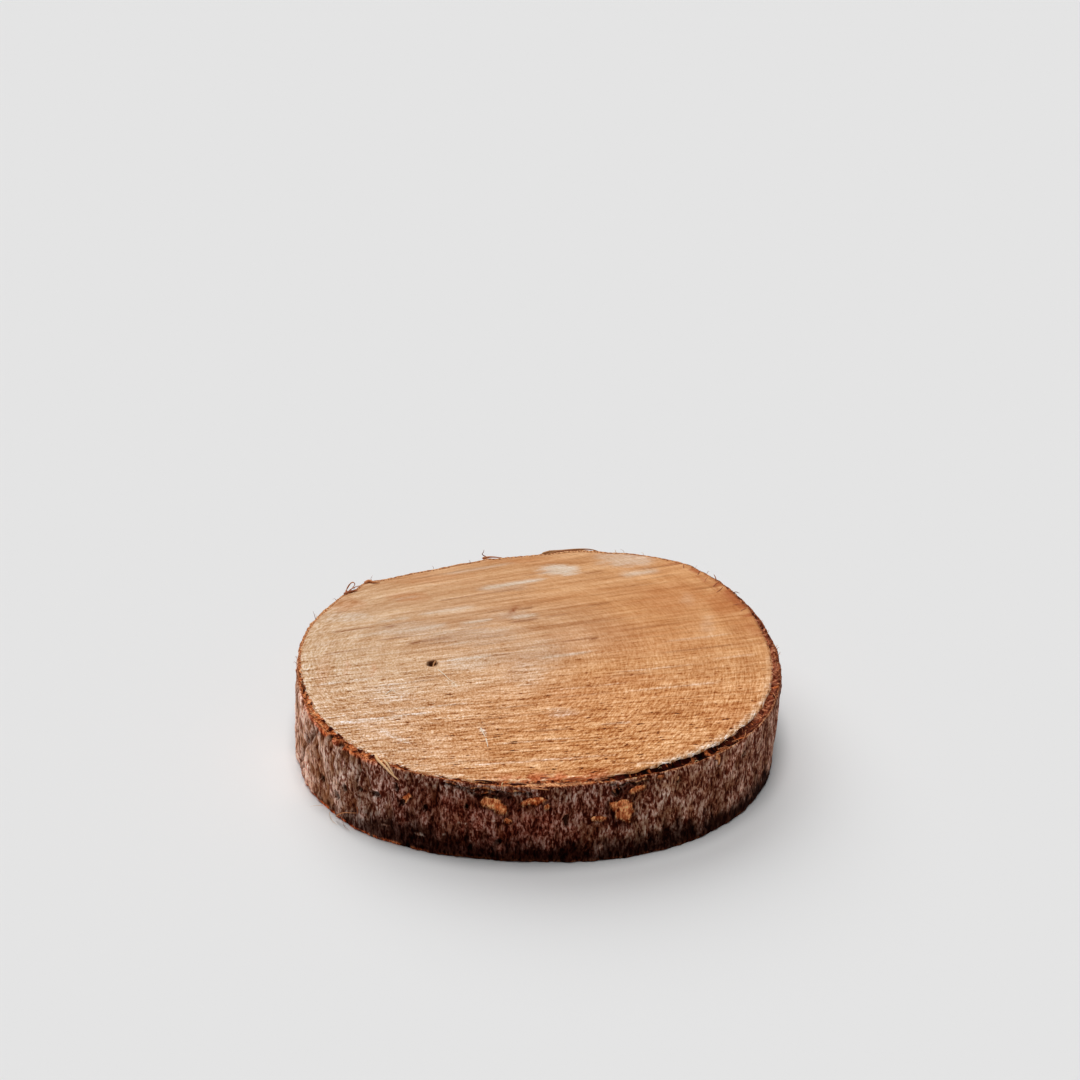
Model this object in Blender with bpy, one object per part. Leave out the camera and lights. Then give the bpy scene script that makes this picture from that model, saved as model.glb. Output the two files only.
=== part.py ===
"""A slice sawn across a tree trunk, with its bark on, lying on its sawn base.

Metres, +Z up. The origin is the middle of the base, and the longest way across lies along X.
"""
import math
import random

import bmesh
import bpy
from mathutils import Matrix, Vector

# Driving dimensions
MM = 0.001
THICKNESS = 26.7 * MM

# The rim's radius to the outside of the bark, every 15 degrees anticlockwise from +X
RIM_RADII = [r * MM for r in (
    75.0, 75.0, 76.5, 78.5, 77.5, 73.0, 68.5, 67.5, 68.0, 72.5, 75.5, 76.0,
    75.0, 75.0, 76.0, 75.5, 73.0, 71.5, 71.0, 71.0, 72.5, 75.0, 76.0, 75.5)]

# How much wider than the rim the trunk is at the base, at the same bearings
FOOT_SPREAD = [s * MM for s in (
    -1.0, -0.5, 0.0, 0.3, 0.5, 0.3, 0.0, -0.3, 0.0, 0.4, 0.8, 1.2,
    1.5, 1.5, 0.9, 0.4, 0.1, -1.0, -1.2, 0.6, 1.1, 0.0, -0.3, -1.2)]

# Bark: long plates with a furrow between each two
PLATE_COUNT = 88
PLATE_ROWS = 6
PLATE_WIDTH_VARIATION = 0.55
PLATE_STAND = 0.55 * MM
FURROW_DEPTH = 0.95 * MM
FURROW_SHARE = 0.34
FURROW_WANDER = 0.9 * MM
SMOOTH_SIDE_BEARING = math.radians(335)
SMOOTH_SIDE_SHARE = 0.45

# Saw marks: shallow grooves that spread like a fan from where the saw was held
SAW_HOLD = Vector((-502.0 * MM, -116.0 * MM, 0.0))
SAW_FAN_HALF_ANGLE = math.radians(11.0)
SAW_MIDDLE_BEARING = math.radians(13.0)
SAW_REACH_NEAR = 400.0 * MM
SAW_REACH_FAR = 640.0 * MM
SAW_MARK_COUNT = 40
SAW_MARK_DEPTH = 0.32 * MM
SAW_CREST_SHARE = 0.62
SAW_BASE_MARK_DEPTH = 0.22 * MM

# Pith: a small check that runs down into both faces
PITH_PLACE = Vector((-32.8 * MM, -2.6 * MM, 0.0))
PITH_WIDTH = 3.2 * MM
PITH_DEPTH = 6.0 * MM
PITH_SIDES = 9

# Inner bark: a shrunken channel between the wood and the bark, on both faces
CHANNEL_POINTS = 96
CHANNEL_INSET = 2.9 * MM
CHANNEL_WIDTHS = (0.9 * MM, 1.9 * MM)
CHANNEL_DEPTHS = (0.35 * MM, 1.1 * MM)

# Torn fibres: bearing of the root in degrees, bearing it points to, length, rise and thickness in mm
TORN_FIBRES = (
    (143.0, 70.0, 12.0, 1.6, 1.1),
    (137.5, 118.0, 7.0, 0.8, 1.0),
    (106.0, 88.0, 6.5, 2.4, 1.2),
    (84.0, 20.0, 11.0, 1.4, 1.6),
    (76.0, 166.0, 8.0, 1.2, 1.3),
    (161.0, 205.0, 6.0, 0.6, 0.9),
    (232.0, 240.0, 8.0, 0.9, 1.3),
    (236.5, 228.0, 6.0, 0.5, 1.0),
    (38.0, 100.0, 7.0, 0.7, 1.0),
    (285.0, 262.0, 6.0, 0.4, 1.1),
)
FIBRE_ROOT_DEPTH = 2.4 * MM
FIBRE_POINTS = 6
FIBRE_TIP_SHARE = 0.62

CUT_CLEARANCE = 1.0 * MM
SEED = 812

SAWN_WOOD = ("sawn_wood", (0.60, 0.33, 0.15), 0.72)
INNER_BARK = ("inner_bark", (0.27, 0.085, 0.035), 0.85)
OUTER_BARK = ("outer_bark", (0.080, 0.030, 0.018), 0.88)


def clear_scene():
    for item in list(bpy.data.objects):
        bpy.data.objects.remove(item, do_unlink=True)


def new_collection(name):
    collection = bpy.data.collections.new(name)
    bpy.context.scene.collection.children.link(collection)
    return collection


def new_material(name, colour, roughness):
    material = bpy.data.materials.new(name)
    material.use_nodes = True
    shader = material.node_tree.nodes["Principled BSDF"]
    shader.inputs["Base Color"].default_value = (*colour, 1.0)
    shader.inputs["Roughness"].default_value = roughness
    shader.inputs["Metallic"].default_value = 0.0
    return material


def smooth_ring(values, angle):
    """Read a ring of values at an angle, from a smooth curve that passes through them"""
    count = len(values)
    place = (angle / math.tau * count) % count
    first = int(place)
    t = place - first
    a, b, c, d = (values[(first + k) % count] for k in (-1, 0, 1, 2))
    return b + 0.5 * t * (c - a + t * (2 * a - 5 * b + 4 * c - d + t * (3 * (b - c) + d - a)))


def trunk_radius(angle, height):
    """The radius of the trunk at a bearing and a height, before its bark is furrowed"""
    down = 1.0 - height / THICKNESS
    return smooth_ring(RIM_RADII, angle) + smooth_ring(FOOT_SPREAD, angle) * down


def on_ring(angle, radius, height):
    return Vector((radius * math.cos(angle), radius * math.sin(angle), height))


def bridge_rings(mesh, rings, closed):
    """Join rings of the same number of points in turn, and cap both ends of an open row of them

    The twisted faces are split into triangles, so that a cut meets the same surface on both sides.
    """
    rows = [[mesh.verts.new(point) for point in ring] for ring in rings]
    pairs = list(zip(rows, rows[1:]))
    if closed:
        pairs.append((rows[-1], rows[0]))
    for lower, upper in pairs:
        for k in range(len(lower)):
            after = (k + 1) % len(lower)
            mesh.faces.new((lower[k], lower[after], upper[after], upper[k]))
    if not closed:
        mesh.faces.new(list(reversed(rows[0])))
        mesh.faces.new(rows[-1])
    bmesh.ops.recalc_face_normals(mesh, faces=mesh.faces)
    bmesh.ops.triangulate(mesh, faces=mesh.faces)


def new_object(name, mesh, collection):
    data = bpy.data.meshes.new(name)
    mesh.to_mesh(data)
    mesh.free()
    item = bpy.data.objects.new(name, data)
    collection.objects.link(item)
    return item


def plate_edges(draw):
    """Three bearings for each bark plate: the furrow before it, and both edges of its crest"""
    widths = [1.0 + PLATE_WIDTH_VARIATION * draw.uniform(-1.0, 1.0) for _ in range(PLATE_COUNT)]
    scale = math.tau / sum(widths)
    edges = []
    start = 0.0
    for plate, width in enumerate(widths):
        span = width * scale
        edges.append((start, plate, True))
        edges.append((start + 0.5 * FURROW_SHARE * span, plate, False))
        edges.append((start + (1.0 - 0.5 * FURROW_SHARE) * span, plate, False))
        start += span
    return edges


def furrow_share(angle):
    """How deep the furrows are at a bearing: full at the left, and shallower on the smooth side"""
    facing = 0.5 + 0.5 * math.cos(angle - SMOOTH_SIDE_BEARING)
    return 1.0 - (1.0 - SMOOTH_SIDE_SHARE) * facing


def make_trunk(name, collection):
    """The trunk's side, with its bark in plates and furrows, a little taller than the slice"""
    draw = random.Random(SEED)
    edges = plate_edges(draw)
    stands = [draw.uniform(0.25, 1.0) for _ in range(PLATE_COUNT)]
    phases = [draw.uniform(0.0, math.tau) for _ in range(PLATE_COUNT)]
    rings = []
    for row in range(PLATE_ROWS + 1):
        share = row / PLATE_ROWS
        height = -CUT_CLEARANCE + share * (THICKNESS + 2.0 * CUT_CLEARANCE)
        ring = []
        for angle, plate, is_furrow in edges:
            sway = math.sin(phases[plate] + 5.2 * share) * FURROW_WANDER / smooth_ring(RIM_RADII, angle)
            swell = 0.65 + 0.35 * math.sin(phases[plate] * 3.0 + 7.5 * share)
            if is_furrow:
                relief = -FURROW_DEPTH * (0.55 + 0.45 * swell)
            else:
                relief = PLATE_STAND * stands[plate] * swell
            radius = trunk_radius(angle, height) + relief * furrow_share(angle)
            ring.append(on_ring(angle + 0.35 * sway, radius, height))
        rings.append(ring)
    mesh = bmesh.new()
    bridge_rings(mesh, rings, closed=False)
    return new_object(name, mesh, collection)


def saw_levels():
    """Bearings of the saw marks' crests and grooves, each with its share of the groove's depth"""
    step = 2.0 * SAW_FAN_HALF_ANGLE / SAW_MARK_COUNT
    draw = random.Random(SEED + 1)
    levels = []
    for mark in range(SAW_MARK_COUNT):
        start = SAW_MIDDLE_BEARING - SAW_FAN_HALF_ANGLE + mark * step
        deep = draw.uniform(0.35, 1.0)
        levels.append((start, 0.0))
        levels.append((start + SAW_CREST_SHARE * step, 0.0))
        levels.append((start + 0.5 * (1.0 + SAW_CREST_SHARE) * step, deep))
    levels.append((SAW_MIDDLE_BEARING + SAW_FAN_HALF_ANGLE, 0.0))
    return levels


def make_sawn_slab(name, collection):
    """What the saw leaves between its two cuts, with the saw's grooves in both faces"""
    ends = []
    for reach in (SAW_REACH_NEAR, SAW_REACH_FAR):
        levels = saw_levels()
        top = [SAW_HOLD + on_ring(a, reach, THICKNESS - SAW_MARK_DEPTH * deep) for a, deep in levels]
        base = [SAW_HOLD + on_ring(a, reach, SAW_BASE_MARK_DEPTH * deep) for a, deep in levels]
        ends.append(top + base[::-1])
    mesh = bmesh.new()
    bridge_rings(mesh, ends, closed=False)
    return new_object(name, mesh, collection)


def make_channel(name, face_height, inward, collection):
    """The ring that is taken out between the wood and the bark of one face"""
    draw = random.Random(SEED + 2 + int(inward))
    open_height = face_height + inward * CUT_CLEARANCE
    outer, inner, floor = [], [], []
    width = draw.uniform(*CHANNEL_WIDTHS)
    depth = draw.uniform(*CHANNEL_DEPTHS)
    for k in range(CHANNEL_POINTS):
        angle = math.tau * k / CHANNEL_POINTS
        width += 0.5 * (draw.uniform(*CHANNEL_WIDTHS) - width)
        depth += 0.5 * (draw.uniform(*CHANNEL_DEPTHS) - depth)
        middle = trunk_radius(angle, face_height) - CHANNEL_INSET
        outer.append(on_ring(angle, middle + 0.5 * width, open_height))
        inner.append(on_ring(angle, middle - 0.5 * width, open_height))
        floor.append(on_ring(angle, middle, face_height - inward * depth))
    mesh = bmesh.new()
    bridge_rings(mesh, [outer, inner, floor], closed=True)
    return new_object(name, mesh, collection)


def make_pith_hole(name, face_height, inward, collection):
    """The narrowing check at the pith of one face"""
    mesh = bmesh.new()
    depth = PITH_DEPTH + CUT_CLEARANCE
    centre_height = face_height + inward * (CUT_CLEARANCE - 0.5 * depth)
    wide, narrow = 0.5 * PITH_WIDTH, 0.25 * PITH_WIDTH
    lower, upper = (narrow, wide) if inward > 0 else (wide, narrow)
    bmesh.ops.create_cone(mesh, cap_ends=True, segments=PITH_SIDES, radius1=lower, radius2=upper,
                          depth=depth, matrix=Matrix.Translation(PITH_PLACE + Vector((0, 0, centre_height))))
    return new_object(name, mesh, collection)


def make_torn_fibre(name, fibre, collection):
    """One torn strip of bark fibre, rooted in the rim and bent up and along it"""
    root_bearing, points_to, length, rise, thick = fibre
    root_angle = math.radians(root_bearing)
    way = Vector((math.cos(math.radians(points_to)), math.sin(math.radians(points_to)), 0.0))
    root_height = THICKNESS - 0.9 * thick * MM
    root = on_ring(root_angle, trunk_radius(root_angle, THICKNESS) - FIBRE_ROOT_DEPTH, root_height)
    curve = bpy.data.curves.new(name, "CURVE")
    curve.dimensions = "3D"
    curve.bevel_depth = 0.5 * thick * MM
    curve.bevel_resolution = 0
    curve.use_fill_caps = True
    spline = curve.splines.new("POLY")
    spline.points.add(FIBRE_POINTS - 1)
    for k, point in enumerate(spline.points):
        share = k / (FIBRE_POINTS - 1)
        bend = math.sin(math.pi * share)
        place = root + way * (length * MM * share) + Vector((0, 0, rise * MM * bend))
        point.co = (*place, 1.0)
        point.radius = 1.0 - (1.0 - FIBRE_TIP_SHARE) * share
    guide = bpy.data.objects.new(name + "_guide", curve)
    collection.objects.link(guide)
    bpy.context.view_layer.update()
    data = bpy.data.meshes.new_from_object(guide.evaluated_get(bpy.context.evaluated_depsgraph_get()))
    bpy.data.objects.remove(guide, do_unlink=True)
    mesh = bmesh.new()
    mesh.from_mesh(data)
    bmesh.ops.remove_doubles(mesh, verts=mesh.verts, dist=0.00002)
    bmesh.ops.recalc_face_normals(mesh, faces=mesh.faces)
    return new_object(name, mesh, collection)


def add_boolean(item, name, operation, target):
    boolean = item.modifiers.new(name, "BOOLEAN")
    boolean.operation = operation
    boolean.solver = "MANIFOLD"
    if isinstance(target, bpy.types.Collection):
        boolean.operand_type = "COLLECTION"
        boolean.collection = target
    else:
        boolean.object = target


def hide_cutter(item):
    item.hide_render = True
    item.display_type = "WIRE"


def bake_modifiers(item):
    """Replace an object's mesh by what its modifiers make of it"""
    bpy.context.view_layer.update()
    data = bpy.data.meshes.new_from_object(item.evaluated_get(bpy.context.evaluated_depsgraph_get()))
    item.modifiers.clear()
    item.data = data


def set_origin_under_middle(item):
    """Move the mesh so that the origin is the middle of its box, at its lowest point"""
    places = [vertex.co for vertex in item.data.vertices]
    low = Vector([min(place[k] for place in places) for k in range(3)])
    high = Vector([max(place[k] for place in places) for k in range(3)])
    middle = (low + high) / 2
    item.data.transform(Matrix.Translation((-middle.x, -middle.y, -low.z)))


def paint_faces(item):
    """Sawn wood on both cuts, inner bark in the channel, and outer bark on the rest"""
    for finish in (SAWN_WOOD, INNER_BARK, OUTER_BARK):
        item.data.materials.append(new_material(*finish))
    for face in item.data.polygons:
        radius = trunk_radius(math.atan2(face.center.y, face.center.x), face.center.z)
        inset = radius - math.hypot(face.center.x, face.center.y)
        level = min(face.center.z, THICKNESS - face.center.z) < CHANNEL_DEPTHS[1]
        if level and inset > CHANNEL_INSET + 0.5 * CHANNEL_WIDTHS[1]:
            face.material_index = 0
        elif level and inset > CHANNEL_INSET - 0.5 * CHANNEL_WIDTHS[1]:
            face.material_index = 1
        else:
            face.material_index = 2


def make_wood_slice():
    part = new_collection("wood_slice")
    cutters = new_collection("cutters")
    fibres = new_collection("torn_fibres")
    wood_slice = make_trunk("wood_slice", part)
    slab = make_sawn_slab("saw_cuts", cutters)
    add_boolean(wood_slice, "Sawn faces", "INTERSECT", slab)
    for side, height, inward in (("top", THICKNESS, 1.0), ("base", 0.0, -1.0)):
        channel = make_channel("inner_bark_channel_" + side, height, inward, cutters)
        add_boolean(wood_slice, "Inner bark, " + side, "DIFFERENCE", channel)
        pith = make_pith_hole("pith_hole_" + side, height, inward, cutters)
        add_boolean(wood_slice, "Pith, " + side, "DIFFERENCE", pith)
    for number, fibre in enumerate(TORN_FIBRES):
        make_torn_fibre("torn_fibre_" + str(number + 1), fibre, fibres)
    for item in cutters.objects:
        hide_cutter(item)
    add_boolean(wood_slice, "Torn fibres", "UNION", fibres)
    bake_modifiers(wood_slice)
    for collection in (cutters, fibres):
        for item in list(collection.objects):
            bpy.data.objects.remove(item, do_unlink=True)
        bpy.data.collections.remove(collection)
    paint_faces(wood_slice)
    set_origin_under_middle(wood_slice)


clear_scene()
make_wood_slice()
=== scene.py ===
import math

import bmesh
import bpy
import numpy as np
from bpy.props import FloatProperty, FloatVectorProperty, IntProperty, PointerProperty
from mathutils import Matrix, Vector


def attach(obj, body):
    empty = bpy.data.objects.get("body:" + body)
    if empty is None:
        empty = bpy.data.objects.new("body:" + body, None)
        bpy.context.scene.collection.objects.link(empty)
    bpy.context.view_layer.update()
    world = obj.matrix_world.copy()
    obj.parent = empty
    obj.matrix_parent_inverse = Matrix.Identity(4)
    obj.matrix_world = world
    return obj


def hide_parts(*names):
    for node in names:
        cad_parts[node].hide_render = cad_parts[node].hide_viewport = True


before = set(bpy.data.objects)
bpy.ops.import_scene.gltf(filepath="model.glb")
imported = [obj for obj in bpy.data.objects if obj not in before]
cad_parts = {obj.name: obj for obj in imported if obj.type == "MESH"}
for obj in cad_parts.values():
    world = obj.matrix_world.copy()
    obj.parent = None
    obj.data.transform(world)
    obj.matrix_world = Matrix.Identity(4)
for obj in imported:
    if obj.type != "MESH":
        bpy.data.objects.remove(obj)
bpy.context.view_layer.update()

bl_info = {
    "name": "Wood slice",
    "version": (1, 0, 0),
    "blender": (4, 5, 0),
    "location": "3D View > Sidebar > Wood slice",
    "description": "Models a slice sawn across a tree trunk, with its bark on",
    "category": "Add Mesh",
}

NODE = "wood_slice"
BODY = "root"
MM = 0.001
TURN = math.tau

# Places are in millimetres from the middle of the trunk, which lies here in the frame
TRUNK_MIDDLE = (0.8, 0.38)
PITH = (-32.8, -2.6)
# Half width and half depth of the pith hole and of its stain, and how far its finer faces reach
PITH_HOLE = (1.5, 1.8)
PITH_STAIN = (1.5, 2.0)
PITH_FACES = 3.6

# Rings of values, one every 15 degrees anticlockwise from +X, in millimetres
RIM_RADII = (
    75.0, 75.0, 76.5, 78.5, 77.5, 73.0, 68.5, 67.5, 68.0, 72.5, 75.5, 76.0,
    75.0, 75.0, 76.0, 75.5, 73.0, 71.5, 71.0, 71.0, 72.5, 75.0, 76.0, 75.5)
FOOT_SPREAD = (
    -1.0, -0.5, 0.0, 0.3, 0.5, 0.3, 0.0, -0.3, 0.0, 0.4, 0.8, 1.2,
    1.5, 1.5, 0.9, 0.4, 0.1, -1.0, -1.2, 0.6, 1.1, 0.0, -0.3, -1.2)
INNER_BARK_WIDTHS = (
    2.8, 2.2, 1.2, 1.0, 1.0, 1.1, 1.1, 1.0, 1.0, 1.1, 1.1, 1.0,
    1.0, 2.2, 3.2, 3.2, 1.7, 2.0, 3.6, 3.2, 4.6, 5.0, 4.4, 3.4)
INNER_BARK_DROPS = (
    0.7, 0.6, 0.6, 0.6, 0.2, 0.1, 0.1, 0.1, 0.1, 0.1, 0.1, 0.1,
    0.1, 0.3, 0.5, 0.6, 0.4, 0.6, 0.2, 0.6, 1.8, 2.0, 1.7, 1.1)
# How much of the inner bark is dark, torn fibre, from 0 to 1
INNER_BARK_DARKNESS = (
    0.42, 0.40, 0.30, 0.22, 0.12, 0.05, 0.05, 0.05, 0.05, 0.05, 0.10, 0.10,
    0.15, 0.25, 0.32, 0.40, 0.40, 0.50, 0.18, 0.45, 1.05, 0.95, 0.66, 0.46)
# How rough the outer bark is, from 0 to 1
BARK_ROUGHNESS = (
    0.7, 0.7, 0.8, 0.9, 0.9, 0.9, 0.8, 0.8, 0.8, 0.9, 1.0, 1.0,
    1.0, 1.0, 1.0, 0.9, 0.8, 0.7, 0.7, 0.6, 0.6, 0.6, 0.6, 0.7)

# Local swellings of the rim: bearing and half width in degrees, then height in millimetres
RIM_BUMPS = ((139.4, 3.0, 1.9), (147.0, 4.0, 0.8), (105.0, 1.8, 0.8), (81.0, 7.0, 1.0), (51.0, 6.0, 0.7))

# Stretches of the rim that are painted or shaped alike: the bearing of the middle and the reach in
# degrees, then how flat the stretch is in its middle, from 2 for a soft hump up
STRETCHES = {
    "white_rim": (320.0, 35.0, 4), "pale_front_rim": (255.0, 32.0, 2), "pale_left_rim": (195.0, 22.0, 2),
    "frayed_rim": (274.0, 15.0, 4), "checked_rim": (36.0, 25.0, 4), "torn_rim": (45.0, 26.0, 2),
    "tan_rim": (118.0, 45.0, 4), "back": (110.0, 71.0, 6), "low_back": (110.0, 70.0, 6),
    "weathered_bark": (200.0, 23.0, 2), "weathered_grain": (200.0, 25.0, 2), "brown_bark": (257.0, 34.0, 4),
    "dull_bark": (301.0, 14.0, 2), "lumpy_bark": (81.0, 6.5, 2), "crumbly_bark": (216.0, 15.0, 4),
    "high_foot": (243.0, 13.0, 2), "low_left_foot": (200.0, 22.0, 2), "low_right_foot": (345.0, 20.0, 2),
    "orange_hem": (218.0, 22.0, 4), "pale_lip": (316.0, 27.0, 4), "dark_lip": (5.0, 34.0, 4),
    "torn_lip": (42.0, 22.0, 2), "ember": (-3.0, 35.0, 6), "shaded_recess": (309.0, 17.0, 4),
    "chip": (273.5, 8.5, 6), "lumpy_inner_bark": (216.0, 20.0, 2),
}

# The saw's marks fan out from where it was held
SAW_HOLD = (-502.0, -116.0)
SAW_MIDDLE_BEARING = math.radians(13.0)
SAW_REACH = 515.0

# Where the bark faces the camera, a little to the left
FRONT_BEARING = 254.0
# The share of the floor's light that reaches the front of the bark
WALL_LIGHT = 0.40


# Numbers


def smooth_step(value, low, high):
    share = np.clip((value - low) / (high - low), 0.0, 1.0)
    return share * share * (3.0 - 2.0 * share)


def read_ring(values, bearing):
    """Values from a closed ring of them, by a smooth curve that passes through each"""
    ring = np.asarray(values, float)
    count = len(ring)
    place = (np.asarray(bearing) / TURN * count) % count
    first = np.floor(place).astype(int)
    t = place - first
    a, b, c, d = (ring[(first + k) % count] for k in (-1, 0, 1, 2))
    return b + 0.5 * t * (c - a + t * (2 * a - 5 * b + 4 * c - d + t * (3 * (b - c) + d - a)))


def patchy(u, v, seed, columns=64, rows=64):
    """Smooth random values from 0 to 1 on a lattice that repeats after its columns and rows"""
    table = np.random.default_rng(seed).random((columns, rows))
    i, j = np.floor(u).astype(int), np.floor(v).astype(int)
    s, t = smooth_step(u - i, 0.0, 1.0), smooth_step(v - j, 0.0, 1.0)
    near = table[i % columns, j % rows] * (1 - s) + table[(i + 1) % columns, j % rows] * s
    far = table[i % columns, (j + 1) % rows] * (1 - s) + table[(i + 1) % columns, (j + 1) % rows] * s
    return near * (1 - t) + far * t


def layered(u, v, seed, columns=64, rows=64, layers=3):
    """Several layers of patchy values, each half the size and half the strength of the last"""
    total, weight = 0.0, 0.0
    for layer in range(layers):
        scale = 2 ** layer
        strength = 0.5 ** layer
        total = total + strength * patchy(u * scale, v * scale, seed + layer, columns * scale, rows)
        weight += strength
    return total / weight


def to_bearing(x, y):
    return np.arctan2(y, x) % TURN


def turn_gap(bearing, degrees):
    """Signed degrees from a bearing in degrees to each of an array of bearings in radians"""
    return (np.degrees(bearing) - degrees + 180.0) % 360.0 - 180.0


def around(bearing, middle, reach, flatness=2):
    """A share for each bearing: 1 at the middle, and near 0 beyond the reach"""
    return np.exp(-(turn_gap(bearing, middle) / reach) ** flatness)


def stretch(bearing, name):
    """How much each bearing lies in one of the named stretches, from 0 to 1"""
    return around(bearing, *STRETCHES[name])


def daylight(red, green, blue):
    """The surface colour that shows as this screen colour, from 0 to 255, in the studio's light"""
    screen = np.array((red, green, blue), float) / 255.0
    return np.where(screen < 0.04045, screen / 12.92, ((screen + 0.055) / 1.055) ** 2.4)


def shaded(colour, factor):
    """Darken or lighten colours; like real wood, they turn redder as they darken"""
    factor = np.clip(factor, 0.05, 3.0)
    return colour * np.stack([factor, factor ** 1.6, factor ** 2.2], axis=1)


def toward(colour, other, share):
    """Mix an array of colours towards another colour, by a share for each"""
    share = np.clip(share, 0.0, 1.0)[:, None]
    return colour * (1.0 - share) + np.asarray(other) * share


# The trunk's form


def rim_radius(bearing):
    radius = read_ring(RIM_RADII, bearing) - 0.2
    for middle, wide, tall in RIM_BUMPS:
        radius = radius + tall * around(bearing, middle, wide)
    return radius + 0.5 * (layered(bearing / TURN * 60, 0.5 + 0 * bearing, 3, 60, layers=2) - 0.5)


def trunk_radius(bearing, height, thickness):
    down = 1.0 - height / thickness
    return rim_radius(bearing) + read_ring(FOOT_SPREAD, bearing) * down


def wood_radius(bearing):
    """Where the wood ends and the inner bark begins"""
    ragged = 0.5 * (layered(bearing / TURN * 160, 0.5 + 0 * bearing, 11, 160, layers=3) - 0.5)
    return rim_radius(bearing) - read_ring(INNER_BARK_WIDTHS, bearing) + ragged


def saw_place(x, y):
    """How far across and along the saw's marks each point lies"""
    dx, dy = x - SAW_HOLD[0], y - SAW_HOLD[1]
    across = (np.arctan2(dy, dx) - SAW_MIDDLE_BEARING) * SAW_REACH
    return across, np.hypot(dx, dy) - SAW_REACH


def ring_place(x, y):
    """The share of the way from the pith to the bark, along the growth rings' own shape"""
    dx, dy = x - PITH[0], y - PITH[1]
    angle = np.arctan2(dy, dx)
    reach = np.full(len(x), 60.0)
    for _ in range(12):
        px, py = PITH[0] + reach * np.cos(angle), PITH[1] + reach * np.sin(angle)
        reach = reach + (read_ring(RIM_RADII, to_bearing(px, py)) - 2.4 - np.hypot(px, py))
    return np.hypot(dx, dy) / reach


# Meshes


def label_grid(mesh, columns, rows, label):
    """A flat grid from 0 to 1 both ways; its height is its label"""
    bmesh.ops.create_grid(mesh, x_segments=columns, y_segments=rows, size=0.5,
                          matrix=Matrix.Translation((0.5, 0.5, label)))


def grid_mesh(name, *grids):
    """A mesh of flat grids; each is its columns, its rows and its label"""
    mesh = bmesh.new()
    for columns, rows, label in grids:
        label_grid(mesh, columns, rows, label)
    data = bpy.data.meshes.new(name)
    mesh.to_mesh(data)
    mesh.free()
    return data


def ring_mesh(name, columns, rows):
    """A grid whose ends meet both ways, with each vertex's share of the turn and its row"""
    data = grid_mesh(name, (columns, rows, 0.0))
    points = read_points(data)
    return data, points[:, 0] % 1.0, np.round(points[:, 1] * rows) % rows


def read_points(data):
    points = np.empty(len(data.vertices) * 3)
    data.vertices.foreach_get("co", points)
    return points.reshape(-1, 3)


def set_points(data, x, y, z):
    """Move a mesh's vertices to places in millimetres from the middle of the trunk"""
    points = np.stack([x + TRUNK_MIDDLE[0], y + TRUNK_MIDDLE[1], z], axis=1) * MM
    data.vertices.foreach_set("co", points.astype(np.float32).ravel())


def set_attribute(data, name, values):
    """Store one number, three numbers or a colour for each vertex"""
    values = np.asarray(values, np.float32)
    if values.ndim == 1:
        data.attributes.new(name, "FLOAT", "POINT").data.foreach_set("value", values)
    else:
        data.attributes.new(name, "FLOAT_VECTOR", "POINT").data.foreach_set("vector", values.ravel())


def finish_piece(name, data, material, refine=None):
    """Close the mesh's seams, turn its faces outwards, and put it on the object's body"""
    mesh = bmesh.new()
    mesh.from_mesh(data)
    bmesh.ops.remove_doubles(mesh, verts=mesh.verts, dist=0.000002)
    if refine:
        refine(mesh)
    bmesh.ops.recalc_face_normals(mesh, faces=mesh.faces)
    mesh.to_mesh(data)
    mesh.free()
    data.shade_smooth()
    data.materials.append(material)
    piece = bpy.data.objects.new(name, data)
    bpy.context.scene.collection.objects.link(piece)
    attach(piece, BODY)
    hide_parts(NODE)
    return piece


# Shader nodes


class Wire:
    """A shader node's output; arithmetic on it adds Math nodes to its tree"""

    def __init__(self, shader, socket):
        self.shader = shader
        self.socket = socket

    def maths(self, operation, first, second):
        return self.shader.node("Math", {"operation": operation}, {0: first, 1: second})

    def __add__(self, other):
        return self.maths("ADD", self, other)

    def __radd__(self, other):
        return self.maths("ADD", other, self)

    def __sub__(self, other):
        return self.maths("SUBTRACT", self, other)

    def __rsub__(self, other):
        return self.maths("SUBTRACT", other, self)

    def __mul__(self, other):
        return self.maths("MULTIPLY", self, other)

    def __rmul__(self, other):
        return self.maths("MULTIPLY", other, self)

    def __pow__(self, other):
        return self.maths("POWER", self, other)

    def __rpow__(self, other):
        return self.maths("POWER", other, self)


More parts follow.
